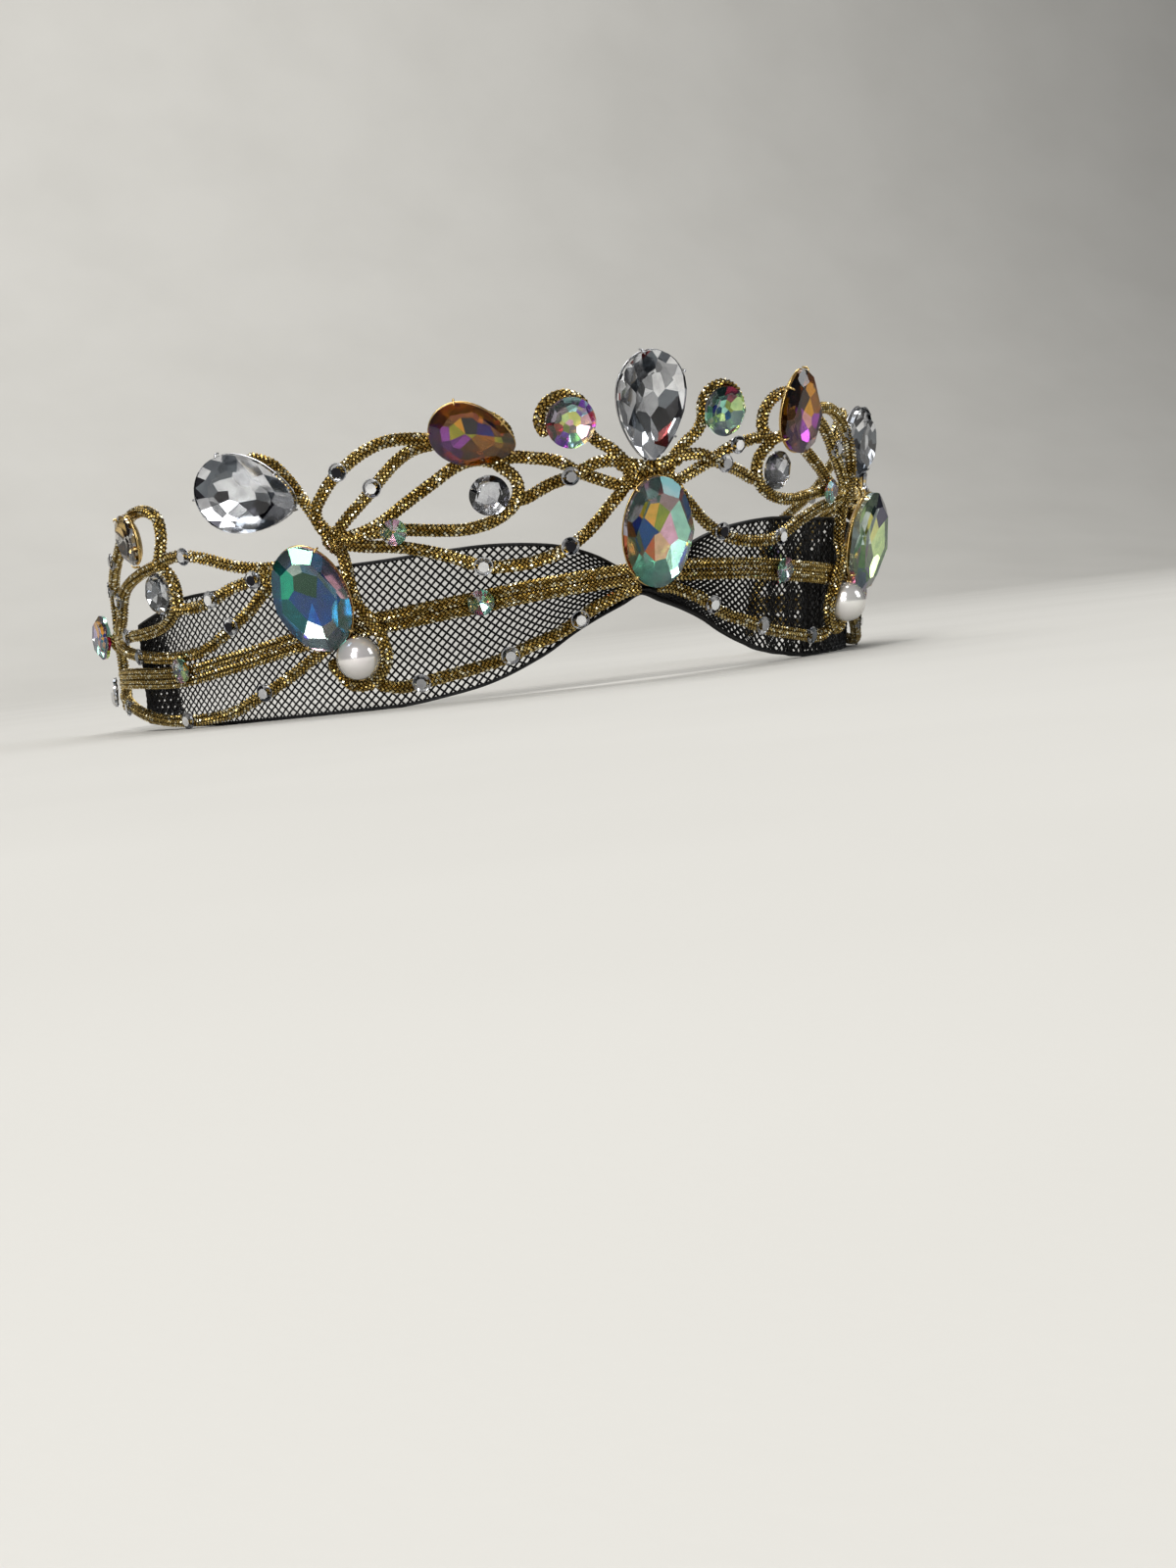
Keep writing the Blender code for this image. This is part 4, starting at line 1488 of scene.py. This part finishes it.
@dataclass
class StoneWork:
    """All main stones with their settings."""

    # Facet tones given one by one for each copy: painted reflections, lighter or darker on the left
    # and right copies as each faces the light, over the coating's or glass's colour
    tones: dict = field(default_factory=lambda: {
        "centre_teardrop": (
            (FROST, SILVER, PEWTER, FROST, SLATE, SILVER, INK, FROST, PEWTER, SLATE, FROST, WINE,
             SILVER, FROST, INK, PEWTER),
            (FROST, SLATE, SILVER, FROST, PEWTER, INK, SILVER)),
        "centre_oval": (
            (MINT, MINT, MINT, ROSE_GREY, LILAC_GREY, LILAC_GREY, RUST, MINT),
            (SALMON, PINK, OLIVE, ORANGE, NAVY, RUST)),
        "ab_oval_left": (
            (ROSE_GREY, ROSE_GREY, PINK, PINK, WHITE_MINT, EMERALD, TEAL, WHITE_MINT),
            (NAVY, NAVY, INK, INK, NAVY, AZURE)),
        "ab_oval_right": (
            (LAVENDER, LIME, LIME, INK, WHITE_MINT, WHITE_MINT, WHITE_MINT, PINK),
            (LIME, LIME, LEMON, WHITE_MINT, WHITE_MINT, PINK)),
        "ab_round_left": (
            (PINK, LAVENDER, LILAC_GREY, LILAC_GREY, ROSE_GREY, CRIMSON, VIOLET, MINT, ROSE_GREY),
            (LEMON, LEMON, LIME, LEMON, PINK, LEMON)),
        "ab_round_right": (
            (MINT, WHITE_MINT, LAVENDER, WHITE_MINT, MINT, LIME, CRIMSON, INK, PEWTER),
            (LIME, NAVY, AZURE, OLIVE, MINT, NAVY)),
        "amber_teardrop_left": (
            (OLIVE, HONEY, HONEY, ORANGE, HONEY, TOFFEE, VIOLET, VIOLET, VIOLET, TOFFEE, TOFFEE,
             HONEY),
            (TOFFEE, NAVY, INK, HONEY, OLIVE, VIOLET, TOFFEE, TOFFEE)),
        "amber_teardrop_right": (
            (UMBER, INK, TOFFEE, UMBER, VIOLET, PINK, VIOLET, PINK, VIOLET, TOFFEE, HONEY, UMBER),
            (INK, UMBER, TOFFEE, PINK, VIOLET, PINK, HONEY, UMBER)),
    })
    turns: dict = field(default_factory=lambda: {"amber_teardrop_right": -84.0})

    def place(self, stone: CutStone, name: str, side: int, pattern: bpy.types.Object,
              claw: bpy.types.Object) -> None:
        """Set one stone in place, in its setting where it has one.

        Args:
            stone: the stone's sizes.
            name: the CAD node that it stands for.
            side: 1 for the right half and -1 for the left.
            pattern: the stone as cut.
            claw: the pattern of a claw.
        """
        turn = self.turns.get(name, stone.turn)
        spot = WALL.frame(stone.place, side, turn, stone.yaw)
        piece = copy_of(pattern, f"{name}_cut", Matrix.Identity(4))
        seed = sum(ord(letter) for letter in name)
        stone.dress(piece, seed, self.tones.get(name, ()))
        piece.data.transform(spot)
        enter(piece, stone.finish.name, name)
        if stone.setting:
            setting = stone.set_claws(claw)
            setting.name = f"{name}_setting_cup"
            setting.data.transform(spot)
            enter(setting, stone.setting.value, f"{name}_setting")

    def build(self) -> None:
        """Cut each kind of stone once and set its copies."""
        claw = claw_pattern()
        for stone in MIDDLE_STONES:
            pattern = stone.cut()
            self.place(stone, stone.name, 1, pattern, claw)
            discard(pattern)
        for stone in SIDE_STONES:
            pattern = stone.cut()
            for half, side in HALVES.items():
                self.place(stone, f"{stone.name}_{half}", side, pattern, claw)
            discard(pattern)
        discard(claw)


@dataclass
class SmallCrystals:
    """The small foiled crystals in silver cups, of a width in metres, glued along the cords."""

    seats: list
    width: float = 0.0035
    stone: CutStone = field(default_factory=lambda: CutStone(
        "small_crystal", Stop(0, 0), 3.1, 3.1, 0, Shape.ROUND, SPARK, CROWN_PLAIN, BASE_PLAIN))

    def cup(self) -> bpy.types.Object:
        """Model one silver cup with a rolled brim."""
        settle_selection()
        bpy.ops.mesh.primitive_cylinder_add(
            vertices=14, radius=self.width * 0.36, depth=0.0005, location=(0, 0, -0.0004))
        cup = bpy.context.object
        take_up(cup)
        bpy.ops.object.transform_apply(location=True)
        bpy.ops.object.mode_set(mode="EDIT")
        bpy.ops.mesh.select_mode(type="FACE")
        bpy.ops.mesh.select_all(action="DESELECT")
        work = bmesh.from_edit_mesh(cup.data)
        for face in work.faces:
            face.select_set(face.normal.z > 0.9)
        bmesh.update_edit_mesh(cup.data)
        bpy.ops.mesh.extrude_region_move(TRANSFORM_OT_translate={"value": (0, 0, 0.00035)})
        bpy.ops.transform.resize(value=(1.38, 1.38, 1), center_override=(0, 0, 0))
        bpy.ops.mesh.inset(thickness=0.00016)
        bpy.ops.mesh.extrude_region_move(TRANSFORM_OT_translate={"value": (0, 0, -0.00022)})
        bpy.ops.object.mode_set(mode="OBJECT")
        cup.data.materials.append(SILVER_CLAW.material())
        return cup

    def build(self) -> None:
        """Place a cup and a stone on every seat, as two pieces for each half."""
        cup = self.cup()
        pattern = self.stone.cut()
        for half, side in HALVES.items():
            cups = []
            stones = []
            for index, seat in enumerate(self.seats):
                if seat.translation.x * side <= 0:
                    continue
                spin = Matrix.Rotation(index * 0.9, 4, "Z")
                cups.append(copy_of(cup, "cup", seat @ spin))
                crystal = copy_of(pattern, "crystal", Matrix.Translation((0, 0, 0.0003)))
                self.stone.dress(crystal, index)
                crystal.data.transform(seat @ spin)
                stones.append(crystal)
            enter(sew_together(f"small_cups_{half}", cups), "silver_claw")
            enter(sew_together(f"small_crystals_{half}", stones), "clear_glass")
        discard(cup)
        discard(pattern)


@dataclass
class PearlDrop:
    """The pearl in its loop below each side oval, its radius in metres."""

    place: Stop = Stop(38.3, 9.3, 2.9)
    radius: float = 0.0040

    def build(self, half: str) -> None:
        """Build one pearl with its drilled ends and the eyelets of its wire.

        Args:
            half: left or right.
        """
        settle_selection()
        bpy.ops.mesh.primitive_uv_sphere_add(segments=48, ring_count=32, radius=self.radius)
        pearl = bpy.context.object
        chance = random.Random(len(half))
        swell = [chance.uniform(-1, 1) for _ in range(6)]
        for vertex in pearl.data.vertices:
            way = vertex.co.normalized()
            wave = swell[0] * way.x * way.y + swell[1] * way.y * way.z + swell[2] * way.z * way.x
            wave += swell[3] * way.x**2 + swell[4] * way.y**2
            dimple = max(0.0, abs(way.z) - 0.985) / 0.015
            vertex.co = way * (self.radius * (1 + 0.004 * wave) - 0.00025 * dimple)
        pearl.data.shade_smooth()
        pearl.data.materials.append(PEARL_COAT.material())
        pearl.name = f"pearl_{half}_ball"
        spot = WALL.frame(self.place, HALVES[half])
        spot = spot @ Matrix.Rotation(math.radians(90), 4, "X")
        pearl.data.transform(spot)
        enter(pearl, "pearl_coat", f"pearl_{half}")
        parts = []
        for end in (1, -1):
            settle_selection()
            bpy.ops.mesh.primitive_torus_add(
                major_segments=20, minor_segments=8, major_radius=0.00055, minor_radius=0.00018,
                location=(0, 0, 0))
            eyelet = bpy.context.object
            eyelet.data.transform(Matrix.Translation((0, 0, end * (self.radius - 0.00008))))
            eyelet.data.materials.append(GOLD_CLAW.material())
            eyelet.data.shade_smooth()
            parts.append(eyelet)
        eyelets = sew_together(f"pearl_{half}_eyelets", parts)
        eyelets.data.transform(spot)
        enter(eyelets, "gold_claw")


@dataclass
class NetBand:
    """The band of horsehair net: a flat plait of fine strands, gathered behind the middle oval.

    On the right half the band is folded back on itself, and its left end is turned in, so it
    lies there in two layers.

    Each entry of edges is degrees, then the lower and the upper height in millimetres. cell and
    strand are in metres. The places of the ruck and turned_in are in degrees, and turned_slant
    is in crossings for each row. Depths, out, weave, lowest and full_height are in millimetres;
    full_height is the width at which the gathers end. measured_entry is not used.
    """

    edges: tuple = (
        (0.0, 15.2, 18.6), (3.0, 13.6, 19.8), (6.5, 11.7, 22.4), (10.0, 9.4, 24.3),
        (14.0, 6.2, 25.6), (21.0, 2.4, 26.5), (28.0, 0.6, 26.4), (35.0, -0.4, 26.0),
        (42.0, -0.5, 25.8), (50.0, -0.5, 25.0), (60.0, -0.4, 24.4), (70.0, 0.0, 23.9),
        (78.0, 0.5, 21.8), (86.0, 1.0, 20.2),
    )
    out: float = -2.2
    cell: float = 0.00165
    strand: float = 0.00019
    cells_across: int = 16
    weave: float = 0.11
    ruck_middle: float = 40.0
    ruck_reach: float = 28.0
    second_layer: float = -0.9
    turned_in: float = 14.0
    turned_slant: float = -0.3
    lowest: float = -0.28
    full_height: float = 22.0
    pleat_depth: float = -0.9
    pleats: int = 7
    slack_depth: float = 0.12
    ruck_depth: float = -0.5
    selvage_girth: float = 1.7
    hem_girth: float = 1.3
    measured_entry: int = 5

    def column(self, angle: float) -> tuple[float, float]:
        """Find the lower and the upper edge of the band at an angle.

        Args:
            angle: degrees from the front, without its side.

        Returns:
            The two heights in millimetres.
        """
        marks = [edge[0] for edge in self.edges]
        index = min(max(1, int(np.searchsorted(marks, angle))), len(marks) - 1)
        picks = [self.edges[max(0, min(len(marks) - 1, index + step))] for step in (-2, -1, 0, 1)]
        if index == 1:
            picks[0] = (-picks[2][0], picks[2][1], picks[2][2])
        share = (angle - picks[1][0]) / (picks[2][0] - picks[1][0])
        share = min(1.0, max(0.0, share))
        found = []
        for part in (1, 2):
            start, finish = picks[1][part], picks[2][part]
            span = picks[2][0] - picks[1][0]
            rise = (finish - picks[0][part]) / max(1e-6, picks[2][0] - picks[0][0]) * span
            fall = (picks[3][part] - start) / max(1e-6, picks[3][0] - picks[1][0]) * span
            t = share
            found.append(
                start * (2 * t**3 - 3 * t**2 + 1) + rise * (t**3 - 2 * t**2 + t)
                + finish * (3 * t**2 - 2 * t**3) + fall * (t**3 - t**2))
        return max(found[0], self.lowest), found[1]

    def knot(self, step: int, row: int, steps: int, wave: float) -> np.ndarray:
        """Find a crossing of the net.

        Args:
            step: the crossing's number along the band.
            row: its number across the band.
            steps: how many crossings there are along the band.
            wave: how far the strand rises out of the net there, in millimetres.

        Returns:
            The point in metres.
        """
        reach = self.edges[-1][0]
        angle = (2 * step / steps - 1) * reach
        low, high = self.column(abs(angle))
        share = row / (2 * self.cells_across)
        height = low + (high - low) * share
        gather = max(0.0, 1 - (high - low) / self.full_height)
        folds = math.sin(share * math.pi * self.pleats + angle * 0.05)
        pleat = self.pleat_depth * gather * (0.5 + 0.5 * folds)
        slack = self.slack_depth * math.sin(angle * 0.23 + share * 3) * (1 - gather)
        ruck = max(0.0, 1 - abs(angle - self.ruck_middle) / self.ruck_reach)
        fold = self.ruck_depth * ruck * (1 + math.sin(angle * 1.3 + share * 1.2))
        side = -1 if angle < 0 else 1
        stop = Stop(abs(angle), height, self.out + wave + pleat + slack + fold)
        return np.array(WALL.point(stop, side))

    def run(self, points: list, radius: float, sides: int = 4) -> tuple[np.ndarray, list]:
        """Lay one strand along points.

        Args:
            points: the strand's points in metres.
            radius: its radius in metres.
            sides: how many sides it has.

        Returns:
            Its points and its faces.
        """
        line = np.array(points)
        tangent = np.gradient(line, axis=0)
        tangent /= np.linalg.norm(tangent, axis=1)[:, None]
        outward = line * (1, 1, 0) - (0, 0.03, 0)
        side = np.cross(tangent, outward)
        side /= np.linalg.norm(side, axis=1)[:, None]
        up = np.cross(side, tangent)
        rings = []
        for corner in range(sides):
            turn = 2 * math.pi * corner / sides
            rings.append(line + (side * math.cos(turn) + up * math.sin(turn)) * radius)
        verts = np.stack(rings, axis=1).reshape(-1, 3)
        faces = []
        for ring in range(len(line) - 1):
            for corner in range(sides):
                following = (corner + 1) % sides
                start = ring * sides
                faces.append([
                    start + corner, start + corner + sides,
                    start + following + sides, start + following])
        faces.append(list(range(sides)))
        faces.append([(len(line) - 1) * sides + corner for corner in reversed(range(sides))])
        return verts, faces

    def build(self) -> None:
        """Build the net as one sheet of strands with its two selvages and its end hems."""
        radius = (WALL.half_width + WALL.half_depth) / 2
        length = 2 * math.radians(self.edges[-1][0]) * radius
        steps = round(length / (self.cell / 2))
        rows = 2 * self.cells_across
        runs = []
        middle = steps // 2
        turned = round(steps * self.turned_in / (2 * self.edges[-1][0]))
        layers = (
            (0, steps, 0.0, 0.0), (middle, steps, self.second_layer, 0.0),
            (0, turned, self.second_layer, self.turned_slant))
        for family, (first, last, depth, slant) in itertools.product((1, -1), layers):
            for start in range(-rows + (depth != 0), steps + 1, 2):
                points = []
                for row in range(rows + 1):
                    step = start + row if family == 1 else start + rows - row
                    if first <= step <= last + slant * row:
                        over = 1 if ((step + family * row) // 2) % 2 == 0 else -1
                        wave = over * family * self.weave + depth
                        points.append(self.knot(step, row, steps, wave))
                if len(points) > 1:
                    runs.append(self.run(points, self.strand))
        for row, (first, last, depth, slant) in itertools.product((0, rows), layers):
            limit = round(last + slant * row) + 1
            edge = [self.knot(step, row, steps, depth) for step in range(first, limit)]
            runs.append(self.run(edge, self.strand * self.selvage_girth, 6))
        for step in (0, 1, 2, steps - 2, steps - 1, steps):
            for depth in (0.0, self.second_layer)[:1 + (step > middle)]:
                hem = [
                    self.knot(step, row, steps, depth + 0.1 * (row % 2)) for row in range(rows + 1)]
                runs.append(self.run(hem, self.strand * self.hem_girth))
        verts = []
        faces = []
        count = 0
        for points, sides in runs:
            verts.append(points)
            faces += [[corner + count for corner in face] for face in sides]
            count += len(points)
        net = mesh_piece("net_band_strands", np.concatenate(verts), faces, HORSEHAIR.material())
        enter(net, "black_net", "net_band")


@dataclass(frozen=True)
class Studio:
    """The pale floor, the soft lights and the camera at the photograph's angle."""

    azimuth: float = -24.1122
    elevation: float = 4.1338
    roll: float = -6.5044
    camera_place: tuple = (-0.1824, -0.4152, 0.0121)
    lens: float = 51.95

    def floor(self) -> None:
        """Model the floor and let its far edge sweep up into a backdrop."""
        settle_selection()
        bpy.ops.mesh.primitive_plane_add(size=1, location=(0, 0, 0))
        sweep = bpy.context.object
        sweep.name = "studio_sweep"
        sweep.data.transform(Matrix.Translation((0, -0.4, 0)) @ Matrix.Diagonal((6, 3.2, 1, 1)))
        take_up(sweep)
        bpy.ops.object.mode_set(mode="EDIT")
        bpy.ops.mesh.select_mode(type="EDGE")
        bpy.ops.mesh.select_all(action="DESELECT")
        work = bmesh.from_edit_mesh(sweep.data)
        for edge in work.edges:
            edge.select_set(all(vertex.co.y > 1.1 for vertex in edge.verts))
        bmesh.update_edit_mesh(sweep.data)
        for index in range(1, 13):
            turn = math.radians(7.5 * index)
            shift = (0, 0.13 * math.cos(turn), 0.13 * math.sin(turn))
            bpy.ops.mesh.extrude_region_move(TRANSFORM_OT_translate={"value": shift})
        bpy.ops.mesh.extrude_region_move(TRANSFORM_OT_translate={"value": (0, 0, 2.0)})
        bpy.ops.object.mode_set(mode="OBJECT")
        sweep.data.shade_smooth()
        sweep.data.materials.append(PaperFinish().material())

    def light(
        self, name: str, place: tuple, size: tuple, watts: float, tint: tuple, spot: tuple
    ) -> None:
        """Hang one soft panel light.

        Args:
            name: the light's name.
            place: where it hangs, in metres.
            size: its width and height.
            watts: its power.
            tint: its colour.
            spot: the place that it is aimed at.
        """
        data = bpy.data.lights.new(name, "AREA")
        data.shape = "RECTANGLE"
        data.size, data.size_y = size
        data.energy = watts
        data.color = tint
        lamp = bpy.data.objects.new(name, data)
        lamp.location = place
        aim = Vector(spot) - Vector(place)
        lamp.rotation_euler = aim.to_track_quat("-Z", "Y").to_euler()
        bpy.context.scene.collection.objects.link(lamp)

    def camera(self) -> None:
        """Set up the camera where the photograph was taken from."""
        turn, lift, roll = (math.radians(x) for x in (self.azimuth, self.elevation, self.roll))
        back = Vector((
            math.sin(turn) * math.cos(lift), -math.cos(turn) * math.cos(lift), math.sin(lift)))
        level = Vector((math.cos(turn), math.sin(turn), 0))
        above = back.cross(level)
        right = level * math.cos(roll) + above * math.sin(roll)
        up = above * math.cos(roll) - level * math.sin(roll)
        data = bpy.data.cameras.new("camera")
        data.sensor_fit = "VERTICAL"
        data.sensor_height = 36
        data.lens = self.lens
        data.clip_start = 0.005
        eye = bpy.data.objects.new("camera", data)
        place = Matrix((right, up, back)).transposed().to_4x4()
        place.translation = Vector(self.camera_place)
        eye.matrix_world = place
        bpy.context.scene.collection.objects.link(eye)
        bpy.context.scene.camera = eye

    def build(self) -> None:
        """Set up the whole studio."""
        self.floor()
        self.camera()
        object_spot = (0, -0.02, 0.03)
        self.light("key", (-0.6, -0.8, 0.9), (0.4, 0.3), 8.5, (1.0, 0.98, 0.95), object_spot)
        self.light("fill", (0.9, -0.6, 0.5), (0.4, 0.5), 3, (0.95, 0.98, 1.0), object_spot)
        self.light("front", (-0.9, -1.0, 0.4), (0.6, 0.5), 8, (1.0, 1.0, 0.99), object_spot)
        self.light("top", (0.1, 0.1, 1.0), (0.6, 0.4), 4, (1.0, 0.99, 0.97), object_spot)
        self.light("wall", (0.0, 0.9, 1.6), (2.4, 0.5), 26, (1.0, 0.99, 0.97), (0, 1.9, 0.5))
        world = bpy.data.worlds.new("studio")
        world.use_nodes = True
        draw = ShaderTree(world.node_tree)
        rays = draw.add("ShaderNodeLightPath")
        strength = draw.spread(rays.outputs["Is Camera Ray"], 0, 1, 0.12, 0.62)
        ground = world.node_tree.nodes["Background"]
        ground.inputs["Color"].default_value = (0.94, 0.96, 1.0, 1)
        draw.wire(strength, ground.inputs["Strength"])
        bpy.context.scene.world = world
        bpy.context.scene.view_settings.view_transform = "Standard"


def main() -> None:
    """Build the tiara's pieces in order."""
    logging.basicConfig(level=logging.INFO, format="%(message)s")
    Studio().build()
    seats = CordWork().build()
    StoneWork().build()
    SmallCrystals(seats).build()
    for half in HALVES:
        PearlDrop().build(half)
    NetBand().build()
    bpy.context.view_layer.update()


if __name__ == "__main__":
    main()
